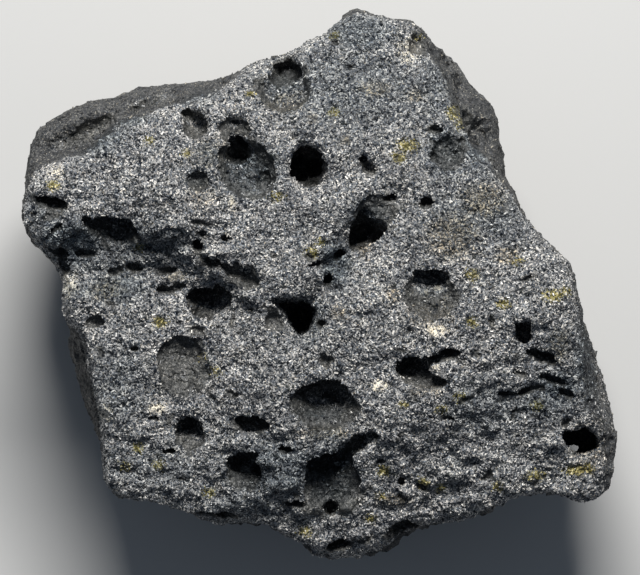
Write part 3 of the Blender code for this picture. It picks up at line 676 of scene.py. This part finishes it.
# Clusters of yellow-green olivine, faint and clear ones: middle and half size in X and Y.
FAINT_OLIVINE = (
    (-35.4, 13.0, 1.1, 0.8), (-24.0, 4.8, 0.8, 0.6), (-22.6, 19.1, 0.8, 0.7), (-17.6, 17.2, 0.7, 0.7),
    (-9.1, 25.4, 0.8, 0.6), (2.1, 22.8, 0.9, 0.7), (-5.7, 11.5, 1.0, 0.7), (2.1, 33.1, 0.7, 0.7),
    (13.4, 32.9, 0.8, 0.6), (0.3, 5.5, 0.8, 0.6), (20.5, 1.1, 1.1, 0.9), (33.1, -1.1, 0.9, 0.7),
    (20.5, -5.2, 0.8, 0.8), (16.4, -16.9, 1.0, 0.7), (11.3, -16.2, 0.8, 0.6), (16.4, -27.4, 0.8, 0.7),
    (24.0, -27.2, 0.9, 0.8), (-1.7, -33.3, 1.0, 0.8), (6.9, -31.5, 0.9, 0.7), (8.3, -28.6, 0.8, 0.6),
    (-13.8, -11.8, 0.9, 0.7), (-21.1, -5.2, 1.2, 0.8), (-24.1, -22.0, 1.0, 0.8), (-21.4, -24.4, 1.1, 0.8),
    (-14.7, -28.0, 1.0, 0.8), (36.3, -24.6, 0.8, 0.7), (29.1, -25.8, 1.6, 0.8), (-26.0, -24.5, 0.8, 0.7),
    (26.5, 3.0, 0.9, 0.7), (-15.6, -9.9, 0.8, 0.7),
)
CLEAR_OLIVINE = (
    (19.0, 21.2, 0.8, 1.0), (11.9, 18.3, 1.7, 1.0), (10.8, 16.8, 1.2, 0.8), (-0.9, 4.0, 1.1, 0.9),
    (31.2, -1.7, 1.5, 0.9), (24.6, -2.8, 1.0, 0.8), (18.9, -15.3, 1.0, 0.8), (14.0, -26.8, 0.9, 0.8),
    (8.7, -25.1, 1.0, 0.8), (29.3, -16.5, 0.9, 0.8), (34.7, -25.1, 2.2, 0.8),
)
OLIVINE = [Spot(*spot, 0.95) for spot in FAINT_OLIVINE]
OLIVINE += [Spot(*spot, 1.25) for spot in CLEAR_OLIVINE]
OLIVINE.append(Spot(18.0, 22.8, 0.9, 1.1, 1.4))

# Tan to brown stains, painted shade where the face lies lower or in shadow, and pale cream clusters. All
# marks end at this depth.
MARKED_DEPTH = 12.0
STAINS = [Spot(*spot) for spot in (
    (22.0, 11.0, 3.4, 2.4, 2.0), (17.9, 6.2, 4.0, 3.4, 1.7), (25.2, 3.6, 1.8, 1.4, 1.6),
    (-28.4, -0.9, 2.4, 1.8, 1.4), (7.6, 25.9, 2.4, 1.2), (3.6, 19.1, 0.8, 0.8, 1.6),
    (-0.9, 21.9, 0.8, 0.8, 1.4), (13.0, 25.0, 1.4, 1.0), (6.1, 4.7, 1.4, 1.0, 1.2),
    (9.9, -1.6, 1.2, 1.4, 1.2), (2.9, -4.0, 1.6, 1.2, 1.2), (10.1, -29.1, 2.4, 1.0, 1.4),
    (32.1, -8.3, 1.6, 2.6), (-4.4, 24.0, 3.0, 1.6, 1.2), (-14.4, 17.4, 3.0, 2.4, 0.8),
    (0.9, -20.0, 4.6, 1.0), (14.6, -14.4, 2.8, 0.8, 1.2), (-15.5, 11.7, 2.4, 2.0, 0.8),
    (17.3, 5.5, 1.0, 0.8, 1.6), (36.0, -22.0, 3.0, 4.0, 0.8), (14.8, -4.0, 3.6, 2.6, 0.9),
)]
# Painted shade: areas darkened in colour where the face lies lower, in shadow, or on the floors of holes.
PAINTED_SHADE_AREAS = [Spot(*spot) for spot in (
    (4.0, 26.0, 12.0, 6.5, 0.8), (-9.2, 15.0, 4.6, 4.2), (17.0, 17.5, 3.4, 4.6, 1.1),
    (-6.0, -25.0, 8.0, 5.0, 1.1), (22.0, -16.5, 6.0, 4.0, 0.8), (1.5, -25.8, 4.4, 4.8, 1.5),
    (2.2, 2.6, 2.6, 4.0, 1.4), (6.6, 8.6, 3.2, 3.2, 1.2), (-25.5, 5.2, 10.0, 4.0, 0.7),
    (-1.4, -4.6, 3.0, 4.0, 0.8), (30.5, -16.0, 5.0, 2.8, 1.0), (-33.5, 5.2, 6.0, 4.2, 1.35),
    (-9.6, 15.2, 3.6, 3.4, 1.4), (22.0, 21.0, 4.0, 9.0, 1.0), (-27.0, -14.0, 5.0, 7.0, 0.7),
    (-16.2, 13.8, 2.0, 1.8, 1.0), (-4.6, 26.0, 3.4, 3.4, 0.9), (-22.0, -24.5, 9.0, 4.0, 0.6),
    (-10.0, -30.0, 8.0, 3.0, 0.7), (22.0, 9.0, 8.0, 4.8, 0.8), (-27.0, -0.6, 5.0, 2.4, 1.2),
    (1.0, -20.2, 3.4, 1.6, 1.0), (36.0, -10.0, 2.4, 8.0, 1.25), (16.0, 26.0, 4.0, 6.0, 0.8),
    (-31.0, 19.8, 6.4, 3.2, 1.35), (-26.5, 22.2, 4.5, 1.8, 1.3), (-19.0, 25.2, 6.0, 1.5, 1.2),
    (21.4, 19.4, 2.8, 5.4, 1.35), (32.0, -13.8, 3.8, 2.6, 1.3), (-30.0, -0.8, 6.0, 1.6, 0.9),
    (0.6, -17.5, 3.8, 1.5, 1.2), (32.0, -8.3, 2.2, 2.8, 0.9), (-14.6, 17.2, 2.2, 2.2, 0.9),
    (14.9, -1.9, 2.7, 2.3, 0.8), (-37.2, 9.6, 2.8, 2.8, 0.8), (-28.7, 2.4, 4.4, 2.4, 0.7),
    (5.5, 33.4, 5.5, 3.0, 1.1),
)]
PALE_CLUSTERS = [Spot(*spot) for spot in (
    (-11.5, 10.6, 0.4, 1.1, 2.0), (-19.2, 0.8, 1.5, 0.7, 1.5), (-21.5, -16.8, 1.4, 0.8, 1.5),
    (15.8, -6.4, 1.5, 0.8, 1.3), (-36.9, 19.0, 0.6, 0.5, 2.0), (-35.7, 19.7, 0.5, 0.5, 2.0),
    (-35.0, 14.8, 1.2, 1.0, 0.7), (15.7, -11.3, 0.5, 0.4, 2.0), (12.0, 31.0, 1.6, 1.6, 0.9),
    (8.2, -13.7, 1.4, 0.8, 1.3), (-34.0, -0.3, 2.0, 1.4), (-28.6, -17.4, 1.2, 1.2, 1.2),
    (15.9, -0.6, 0.5, 0.4, 2.0), (14.4, -1.2, 0.4, 0.3, 2.0), (17.0, -2.0, 0.3, 0.4, 2.0),
)]


def mark(name, values):
    """Keep a value for each vertex, for the finish to read."""
    layer = rock.data.attributes.new(name, "FLOAT", "POINT")
    layer.data.foreach_set("value", values.astype(np.float32))


normals = normals_of(rock.data)
in_hole = np.zeros(len(points))
solid = np.column_stack([points, np.ones(len(points))])
for inverse, radii, mouth in lining_and_shade:
    off = np.linalg.norm((solid @ inverse.T)[:, :3] / radii, axis=1)
    lined = smoothstep((LINED[0] - off) / (LINED[0] - LINED[1]))
    in_hole = np.maximum(in_hole, lined * smoothstep((mouth - points[:, 2] - LINED_BELOW) / LINED_BELOW))

depth = below_face(points)
(foot, above), (left, right) = LOWER_LEFT
lower_left = smoothstep((foot - points[:, 1]) / (foot - above))
lower_left *= smoothstep((left - points[:, 0]) / (left - right))
skin_depth = SKIN_DEPTH + LOWER_LEFT_DEPTH * lower_left + FRONT_DEPTH * near_front(points)
skin_depth += FRESH_RIM_DEPTH * np.minimum(1, spots(points, FRESH_RIM))
skin_depth += sum(reach * lumps(points, size, seed) for size, reach, seed in SKIN_WANDER)
# Past the skin depth the colour is darkened as painted shade for light falling off below the face; the
# rougher, smoother-faceted finish and fewer grains there are real wear.
worn_and_shaded = smoothstep((depth - skin_depth) / SKIN_BLEND) * (1 - in_hole)
bevelled = smoothstep(past_bevel(points) / BEVEL_BEAD)
worn_and_shaded = np.where(bevelled > 0, BEVEL_WORN * bevelled, worn_and_shaded)
off_floor = smoothstep(points[:, 2] - CLEAR_OF_FLOOR)
near_face = smoothstep((MARKED_DEPTH - depth) / SKIN_BLEND)
olivine = spots(points, OLIVINE) * (1 - LINING_OVER_OLIVINE * in_hole) * near_face
turned_up = smoothstep((normals[:, 2] - GRAIN_SLOPE) / GRAIN_SLOPE_BLEND)
fresh = (1 - worn_and_shaded) * (1 - LINING_BARE * in_hole) * turned_up * off_floor
fresh *= 1 - OLIVINE_ALONE * np.minimum(1, olivine)
mark("lining_and_shade", in_hole)
mark("worn_and_shaded", worn_and_shaded)
mark("fresh", fresh)
mark("aged", worn_and_shaded * (1 - in_hole) * off_floor)
mark("olivine", olivine)
mark("stain", spots(points, STAINS) * near_face)
# The painted shade, kept for the finish to read.
mark("painted_shade", spots(points, PAINTED_SHADE_AREAS) * near_face)
mark("pale", spots(points, PALE_CLUSTERS) * near_face)


class Wire:
    """An output of a node. Sums and products of wires add the nodes that work them out."""

    def __init__(self, tree, socket):
        self.tree = tree
        self.socket = socket

    def node(self, kind, settings, inputs, output=0):
        node = self.tree.nodes.new(kind)
        for name, value in settings.items():
            setattr(node, name, value)
        for name, value in inputs.items():
            socket = node.inputs[name]
            if isinstance(value, Wire):
                self.tree.links.new(value.socket, socket)
            else:
                socket.default_value = value
        return Wire(self.tree, node.outputs[output])

    def math(self, operation, *values):
        return self.node("ShaderNodeMath", {"operation": operation}, dict(enumerate(values)))

    def __add__(self, other):
        return self.math("ADD", self, other)

    __radd__ = __add__

    def __mul__(self, other):
        return self.math("MULTIPLY", self, other)

    __rmul__ = __mul__

    def __sub__(self, other):
        return self.math("SUBTRACT", self, other)

    def __rsub__(self, other):
        return self.math("SUBTRACT", other, self)

    def above(self, limit):
        """1 where this value is over the limit, and 0 elsewhere."""
        return self.math("GREATER_THAN", self, limit)

    def other(self, output):
        """Another output of the same node."""
        return Wire(self.tree, self.socket.node.outputs[output])

    def ramp(self, stops, interpolation="LINEAR"):
        """Colours along this value."""
        ramp = self.tree.nodes.new("ShaderNodeValToRGB")
        ramp.color_ramp.interpolation = interpolation
        while len(ramp.color_ramp.elements) < len(stops):
            ramp.color_ramp.elements.new(0.5)
        for element, (stop, colour) in zip(ramp.color_ramp.elements, stops):
            element.position = stop
            element.color = (*colour, 1)
        self.tree.links.new(self.socket, ramp.inputs[0])
        return Wire(self.tree, ramp.outputs[0])

    def mix(self, first, second, blend="MIX"):
        """Blend two colours by this value."""
        first, second = (c if isinstance(c, Wire) else (*c, 1) for c in (first, second))
        settings = {"data_type": "RGBA", "blend_type": blend}
        return self.node("ShaderNodeMix", settings, {0: self, 6: first, 7: second}, 2)

    def times(self, colour):
        """This colour multiplied by another."""
        settings = {"data_type": "RGBA", "blend_type": "MULTIPLY"}
        return self.node("ShaderNodeMix", settings, {0: 1.0, 6: self, 7: colour}, 2)


def vector(operation, *values):
    """Vector maths on wires and plain vectors."""
    wire = next(value for value in values if isinstance(value, Wire))
    return wire.node("ShaderNodeVectorMath", {"operation": operation}, dict(enumerate(values)))


def scaled(wire, factor):
    return wire.node("ShaderNodeVectorMath", {"operation": "SCALE"}, {0: wire, "Scale": factor})


def new_finish(name):
    """A material, its object coordinates and its main shader."""
    material = bpy.data.materials.new(name)
    material.use_nodes = True
    tree = material.node_tree
    place = tree.nodes.new("ShaderNodeTexCoord")
    return material, Wire(tree, place.outputs["Object"]), tree.nodes["Principled BSDF"]


def crystals(at, size, stretch=(1, 1, 1), turn=(0, 0, 0), seed=0.0):
    """A random colour for each crystal of the given size, stretched and turned."""
    scale = [way * size * MM for way in stretch]
    moved = at.node("ShaderNodeMapping", {"vector_type": "TEXTURE"}, {
        "Vector": at, "Rotation": turn, "Scale": scale, "Location": (seed, seed * 2, seed * 3)})
    return at.node("ShaderNodeTexVoronoi", {}, {"Vector": moved, "Scale": 1.0}, "Color")


def share(colour, channel="Red"):
    """One channel of a random colour, as a number between 0 and 1."""
    return colour.node("ShaderNodeSeparateColor", {}, {"Color": colour}, channel)


def centred(colour):
    """Each channel of a random colour, moved to lie around nothing."""
    return vector("SUBTRACT", colour, (0.5, 0.5, 0.5))


def marked(at, name):
    """A value kept on the mesh."""
    return at.node("ShaderNodeAttribute", {"attribute_name": name}, {}, "Fac")


def noise_patches(at, scale):
    return at.node("ShaderNodeTexNoise", {}, {"Vector": at, "Scale": scale, "Detail": 3}, "Fac")


# Lighter and darker patches, stains and painted shade (a bluish-grey darkening) over all crystals, and how
# much the painted shade shows.
PATCH = 2.4
PATCHES = ((0.35, (0.72, 0.73, 0.75)), (0.65, (1.26, 1.25, 1.23)))
STAIN = (0.90, 0.80, 0.64)
PAINTED_SHADE = (0.39, 0.45, 0.50)
PAINTED_SHADE_SHOWS = 0.75


def tinted(at, colour, chance):
    """A colour with the rock's patches, stains and painted shade over it."""
    colour = colour.times(noise_patches(at, 1 / (PATCH * MM)).ramp(PATCHES))
    stained = at.math("MINIMUM", marked(at, "stain") * chance, 1.0)
    colour = stained.mix(colour, STAIN, "MULTIPLY")
    # Painted shade: a bluish-grey darkening over the marked areas.
    return (marked(at, "painted_shade") * PAINTED_SHADE_SHOWS).mix(colour, PAINTED_SHADE, "MULTIPLY")


# The groundmass: sizes of its crystals, how much the coarse ones count, and its tones and hues.
COARSE = 0.23
FINE = 0.12
FINE_PLACE = 0.4
COARSE_COUNTS = 0.42
TONES = (
    (0.0, (0.007, 0.010, 0.015)), (0.27, (0.022, 0.029, 0.037)), (0.40, (0.055, 0.064, 0.074)),
    (0.54, (0.106, 0.113, 0.122)), (0.68, (0.19, 0.195, 0.20)), (0.80, (0.37, 0.365, 0.36)),
)
HUES = (
    (0.0, (0.86, 0.97, 1.14)), (0.25, (0.97, 1.0, 1.04)), (0.55, (1.03, 1.0, 0.99)),
    (0.75, (1.09, 1.0, 0.90)), (0.93, (1.2, 1.02, 0.76)),
)

# Thin pale laths in it: size, form, the share of places without one, the ways they lie and colours.
LATH = 0.13
LATH_STRETCH = (2.8, 1, 1)
LATH_SHARE = 0.945
LATH_TURNS = ((0.5, 0.3, 0.4), (0.3, 0.6, 1.5), (0.7, 0.2, 2.5))
LATH_COLOURS = ((0.0, (0.28, 0.29, 0.30)), (1.0, (0.70, 0.68, 0.64)))

# Olivine and cream crystals in their clusters, and how much a pale mark counts.
OLIVE_TONES = (
    (0.0, (0.06, 0.055, 0.016)), (0.4, (0.16, 0.14, 0.045)), (0.75, (0.30, 0.26, 0.10)),
    (0.9, (0.48, 0.42, 0.22)),
)
CREAM = (0.72, 0.66, 0.54)
PALE_COUNTS = 0.75

# The lining of the holes and the old skin, streaked by wear, both darkened further as painted shade:
# colours, and how much they cover.
LINING_AND_SHADE_TONES = (
    (0.0, (0.022, 0.023, 0.022)), (0.3, (0.042, 0.042, 0.039)), (0.7, (0.066, 0.065, 0.059)),
    (0.95, (0.20, 0.19, 0.17)),
)
SKIN_AND_SHADE_TONES = (
    (0.0, (0.007, 0.008, 0.010)), (0.35, (0.017, 0.018, 0.020)), (0.65, (0.032, 0.033, 0.033)),
    (0.86, (0.072, 0.071, 0.067)), (0.96, (0.21, 0.20, 0.18)),
)
STREAK_TURN = (0, 0, 0.5)
STREAK_SIZE = (3.6, 0.9, 1.4)
STREAKS = ((0.35, (0.6, 0.62, 0.64)), (0.65, (1.5, 1.48, 1.44)))
COVERS = 0.85

# Roughness: least, how far it differs, and what wear adds. Tilt of the crystals' faces, and how
# much less of it there is on the skin and on a lining.
ROUGHNESS = 0.4
ROUGHNESS_RANGE = 0.3
ROUGHER_SKIN = 0.2
FACET_TILT = 0.7
SMOOTHER_SKIN = 0.5
SMOOTHER_LINING = 0.4

material, at, finish = new_finish("basalt_groundmass")
coarse = crystals(at, COARSE)
fine = crystals(at, FINE, seed=FINE_PLACE)
is_lining_and_shade = marked(at, "lining_and_shade")
is_worn_and_shaded = marked(at, "worn_and_shaded")
tone = share(coarse) * COARSE_COUNTS + share(fine) * (1 - COARSE_COUNTS)
colour = tone.ramp(TONES, "CONSTANT").times(share(fine, "Green").ramp(HUES, "CONSTANT"))
lath_colour = share(coarse, "Green").ramp(LATH_COLOURS)
for turn in LATH_TURNS:
    chance = share(crystals(at, LATH, LATH_STRETCH, turn, turn[0]))
    colour = chance.above(LATH_SHARE).mix(colour, lath_colour)

# Clusters colour some of the crystals among which they lie, not all.
some = share(fine, "Blue")
is_olive = (marked(at, "olivine") + some).above(1.0)
colour = is_olive.mix(colour, share(coarse, "Green").ramp(OLIVE_TONES, "CONSTANT"))
is_pale = (marked(at, "pale") * PALE_COUNTS + some).above(1.0)
colour = is_pale.mix(colour, CREAM)
# The lining colour: the lining's own grey, made darker still as painted shade in the holes.
colour = (is_lining_and_shade * COVERS).mix(colour, share(fine).ramp(LINING_AND_SHADE_TONES, "CONSTANT"))
drawn = at.node("ShaderNodeMapping", {"vector_type": "TEXTURE"}, {
    "Vector": at, "Rotation": STREAK_TURN, "Scale": [size * MM for size in STREAK_SIZE]})
streaks = noise_patches(drawn, 1).ramp(STREAKS)
# The skin colour: the old skin's grey, made darker as painted shade.
skin_and_shade = share(fine, "Green").ramp(SKIN_AND_SHADE_TONES, "CONSTANT").times(streaks)
colour = (is_worn_and_shaded * COVERS).mix(colour, skin_and_shade)
colour = tinted(at, colour, share(coarse, "Blue"))
at.tree.links.new(colour.socket, finish.inputs["Base Color"])
rough = share(coarse, "Blue") * ROUGHNESS_RANGE + is_worn_and_shaded * ROUGHER_SKIN + ROUGHNESS
at.tree.links.new(rough.socket, finish.inputs["Roughness"])
straight = at.node("ShaderNodeNewGeometry", {}, {}, "Normal")
tilt = vector("ADD", centred(coarse), centred(fine))
crisp = 1 - is_worn_and_shaded * SMOOTHER_SKIN - is_lining_and_shade * SMOOTHER_LINING
facets = vector("NORMALIZE", vector("ADD", straight, scaled(tilt, crisp * FACET_TILT)))
at.tree.links.new(facets.socket, finish.inputs["Normal"])
rock.data.materials.clear()
rock.data.materials.append(material)
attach(rock, "root")
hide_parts("basalt")

# ----------------------------------------
# The feldspar. Pale, flat little laths, needles and chips, which stand out where the rock broke
# fresh. Each is grown half into the rock, at its own angle.
# ----------------------------------------

# How far the tone differs within a grain, and size and range of the patches of gloss.
TONE_RANGE = 0.24
GLOSS_PATCH = 0.3
GLOSS_RANGE = 0.25


def scatter_grains(name, crystal, where, per_mm2, lean, sizes, seed):
    """Joined grains over the rock, where the named mark allows, each half sunk and turned its own way."""
    piece = bpy.data.objects.new(name, rock.data.copy())
    bpy.context.collection.objects.link(piece)
    tree = bpy.data.node_groups.new(name, "GeometryNodeTree")
    tree.interface.new_socket("Rock", in_out="INPUT", socket_type="NodeSocketGeometry")
    tree.interface.new_socket("Grains", in_out="OUTPUT", socket_type="NodeSocketGeometry")
    ground = Wire(tree, tree.nodes.new("NodeGroupInput").outputs["Rock"])
    allowed = ground.node("GeometryNodeInputNamedAttribute", {"data_type": "FLOAT"}, {"Name": where})
    spread = ground.node("GeometryNodeDistributePointsOnFaces", {}, {
        "Mesh": ground, "Density": allowed * (per_mm2 / MM**2), "Seed": seed})
    angles = ground.node("FunctionNodeRandomValue", {"data_type": "FLOAT_VECTOR"}, {
        0: (-lean, -lean, 0), 1: (lean, lean, 2 * pi), "Seed": seed})
    own_turn = ground.node("FunctionNodeEulerToRotation", {}, {"Euler": angles})
    turned = ground.node("FunctionNodeRotateRotation", {"rotation_space": "LOCAL"}, {
        "Rotation": spread.other("Rotation"), "Rotate By": own_turn})
    smallest, largest = sizes
    chance = ground.node("FunctionNodeRandomValue", {"data_type": "FLOAT"}, {"Seed": seed + 1}, 1)
    size = smallest + (largest - smallest) * (chance * chance)
    kind, form = crystal
    shape = ground.node(kind, {}, form, "Mesh")
    grains = ground.node("GeometryNodeInstanceOnPoints", {}, {
        "Points": spread, "Instance": shape, "Rotation": turned, "Scale": size})
    shade = ground.node("FunctionNodeRandomValue", {"data_type": "FLOAT"}, {"Seed": seed + 2}, 1)
    shaded = ground.node("GeometryNodeStoreNamedAttribute", {"data_type": "FLOAT", "domain": "INSTANCE"}, {
        "Geometry": grains, "Name": "shade", "Value": shade})
    joined = ground.node("GeometryNodeRealizeInstances", {}, {"Geometry": shaded})
    tree.links.new(joined.socket, tree.nodes.new("NodeGroupOutput").inputs["Grains"])
    piece.modifiers.new("Grains", "NODES").node_group = tree
    baked(piece)
    piece.data.shade_flat()
    return piece


def grain_box(*size):
    return "GeometryNodeMeshCube", {"Size": [side * MM for side in size]}


def grain_ball(radius):
    return "GeometryNodeMeshIcoSphere", {"Radius": radius * MM, "Subdivisions": 1}


def dress(piece, name, stops, roughness):
    """Give grains a finish whose colour differs from one to the next, and let them ride on the rock."""
    material, at, finish = new_finish(name)
    patches = share(crystals(at, FINE)) * TONE_RANGE - TONE_RANGE / 2
    shade = marked(at, "shade")
    colour = tinted(at, (shade + patches).ramp(stops), shade)
    at.tree.links.new(colour.socket, finish.inputs["Base Color"])
    gloss = share(crystals(at, GLOSS_PATCH), "Green") * GLOSS_RANGE + roughness
    at.tree.links.new(gloss.socket, finish.inputs["Roughness"])
    piece.data.materials.clear()
    piece.data.materials.append(material)
    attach(piece, "root")


lath_box = grain_box(0.45, 0.16, 0.12)
laths = scatter_grains("feldspar_laths", lath_box, "fresh", per_mm2=3.1, lean=0.5, sizes=(0.5, 1.3), seed=3)
dress(laths, "feldspar", (
    (0.0, (0.11, 0.12, 0.135)), (0.45, (0.23, 0.235, 0.24)), (0.75, (0.42, 0.41, 0.39)),
    (0.93, (0.72, 0.69, 0.64))), roughness=0.3)
needle_box = grain_box(0.32, 0.11, 0.10)
needles = scatter_grains(
    "feldspar_needles", needle_box, "fresh", per_mm2=3.1, lean=0.6, sizes=(0.6, 1.4), seed=5)
dress(needles, "fine_feldspar", (
    (0.0, (0.20, 0.20, 0.20)), (0.5, (0.40, 0.39, 0.38)), (0.8, (0.66, 0.63, 0.60)),
    (1.0, (0.86, 0.83, 0.78))), roughness=0.25)
chip_box = grain_box(0.20, 0.11, 0.09)
chips = scatter_grains("feldspar_chips", chip_box, "fresh", per_mm2=2.9, lean=0.7, sizes=(0.6, 1.2), seed=7)
dress(chips, "chipped_feldspar", (
    (0.0, (0.10, 0.105, 0.11)), (0.4, (0.22, 0.225, 0.23)), (0.75, (0.46, 0.45, 0.44)),
    (1.0, (0.88, 0.86, 0.82))), roughness=0.25)

# ----------------------------------------
# The pyroxene grains. Stubby near-black crystals between the laths, with a bluish gleam. They are
# grown half into the rock.
# ----------------------------------------
dark = scatter_grains(
    "pyroxene_grains", grain_ball(0.17), "fresh", per_mm2=1.9, lean=0.6, sizes=(0.5, 1.4), seed=11)
dress(dark, "pyroxene", (
    (0.0, (0.006, 0.009, 0.014)), (0.6, (0.016, 0.021, 0.030)), (1.0, (0.045, 0.050, 0.045))),
    roughness=0.25)

# ----------------------------------------
# The olivine grains. Glassy yellow-green crystals in small clusters, grown half into the rock,
# where few other crystals stand out.
# ----------------------------------------
yellow = scatter_grains(
    "olivine_grains", grain_ball(0.16), "olivine", per_mm2=3.2, lean=0.6, sizes=(0.5, 1.2), seed=17)
dress(yellow, "olivine", (
    (0.0, (0.07, 0.062, 0.02)), (0.4, (0.18, 0.155, 0.05)), (0.75, (0.34, 0.29, 0.11)),
    (1.0, (0.60, 0.52, 0.30))), roughness=0.2)

# ----------------------------------------
# The weathered crystals. On the old skin only the hardest laths still stand out, dulled to a
# brown-grey. They too are grown half into the rock.
# ----------------------------------------
aged = scatter_grains(
    "weathered_crystals", lath_box, "aged", per_mm2=1.0, lean=0.4, sizes=(0.5, 1.1), seed=23)
dress(aged, "weathered_feldspar", (
    (0.0, (0.016, 0.017, 0.018)), (0.6, (0.034, 0.033, 0.031)), (0.88, (0.082, 0.078, 0.070)),
    (1.0, (0.38, 0.35, 0.29))), roughness=0.5)

# ----------------------------------------
# The floor, the light and the camera. The rock lies on a plain pale floor under one long soft
# lamp on its far side, and is seen from straight above. Here sizes are in metres.
# ----------------------------------------
FLOOR_SIZE = 12
FLOOR_COLOUR = (0.55, 0.55, 0.545, 1)
FLOOR_ROUGHNESS = 0.9
ROOM_COLOUR = (0.68, 0.81, 1.0, 1)
ROOM_LIGHT = 0.13
LAMP_PLACE = (0.02, 0.42, 0.46)
LAMP_SIZE = (0.30, 0.17)
LAMP_WATTS = 6.3
LAMP_COLOUR = (1.0, 0.985, 0.955)
FRAME_WIDTH = 85.888 * MM
RIM_LEVEL = 26 * MM
CAMERA_PLACE = (0.2 * MM, -0.6 * MM)
CAMERA_REACH = 20
LENS = 800
SENSOR = 36

bpy.ops.mesh.primitive_plane_add(size=FLOOR_SIZE)
floor = bpy.context.object
floor.name = "floor"
material, at, finish = new_finish("pale_floor")
finish.inputs["Base Color"].default_value = FLOOR_COLOUR
finish.inputs["Roughness"].default_value = FLOOR_ROUGHNESS
floor.data.materials.append(material)

world = bpy.data.worlds.new("studio")
bpy.context.scene.world = world
world.use_nodes = True
world.node_tree.nodes["Background"].inputs["Color"].default_value = ROOM_COLOUR
world.node_tree.nodes["Background"].inputs["Strength"].default_value = ROOM_LIGHT

lamp_data = bpy.data.lights.new("key", "AREA")
lamp_data.shape = "RECTANGLE"
lamp_data.size, lamp_data.size_y = LAMP_SIZE
lamp_data.energy = LAMP_WATTS
lamp_data.color = LAMP_COLOUR
lamp = bpy.data.objects.new("key", lamp_data)
lamp.location = LAMP_PLACE
lamp.rotation_euler = (-Vector(LAMP_PLACE)).to_track_quat("-Z", "Y").to_euler()
bpy.context.collection.objects.link(lamp)

camera_data = bpy.data.cameras.new("camera")
camera_data.lens = LENS
camera_data.sensor_width = SENSOR
camera_data.clip_end = CAMERA_REACH
camera = bpy.data.objects.new("camera", camera_data)
camera.location = (*CAMERA_PLACE, RIM_LEVEL + FRAME_WIDTH * LENS / SENSOR)
bpy.context.collection.objects.link(camera)
bpy.context.scene.camera = camera
bpy.context.scene.view_settings.view_transform = "Standard"
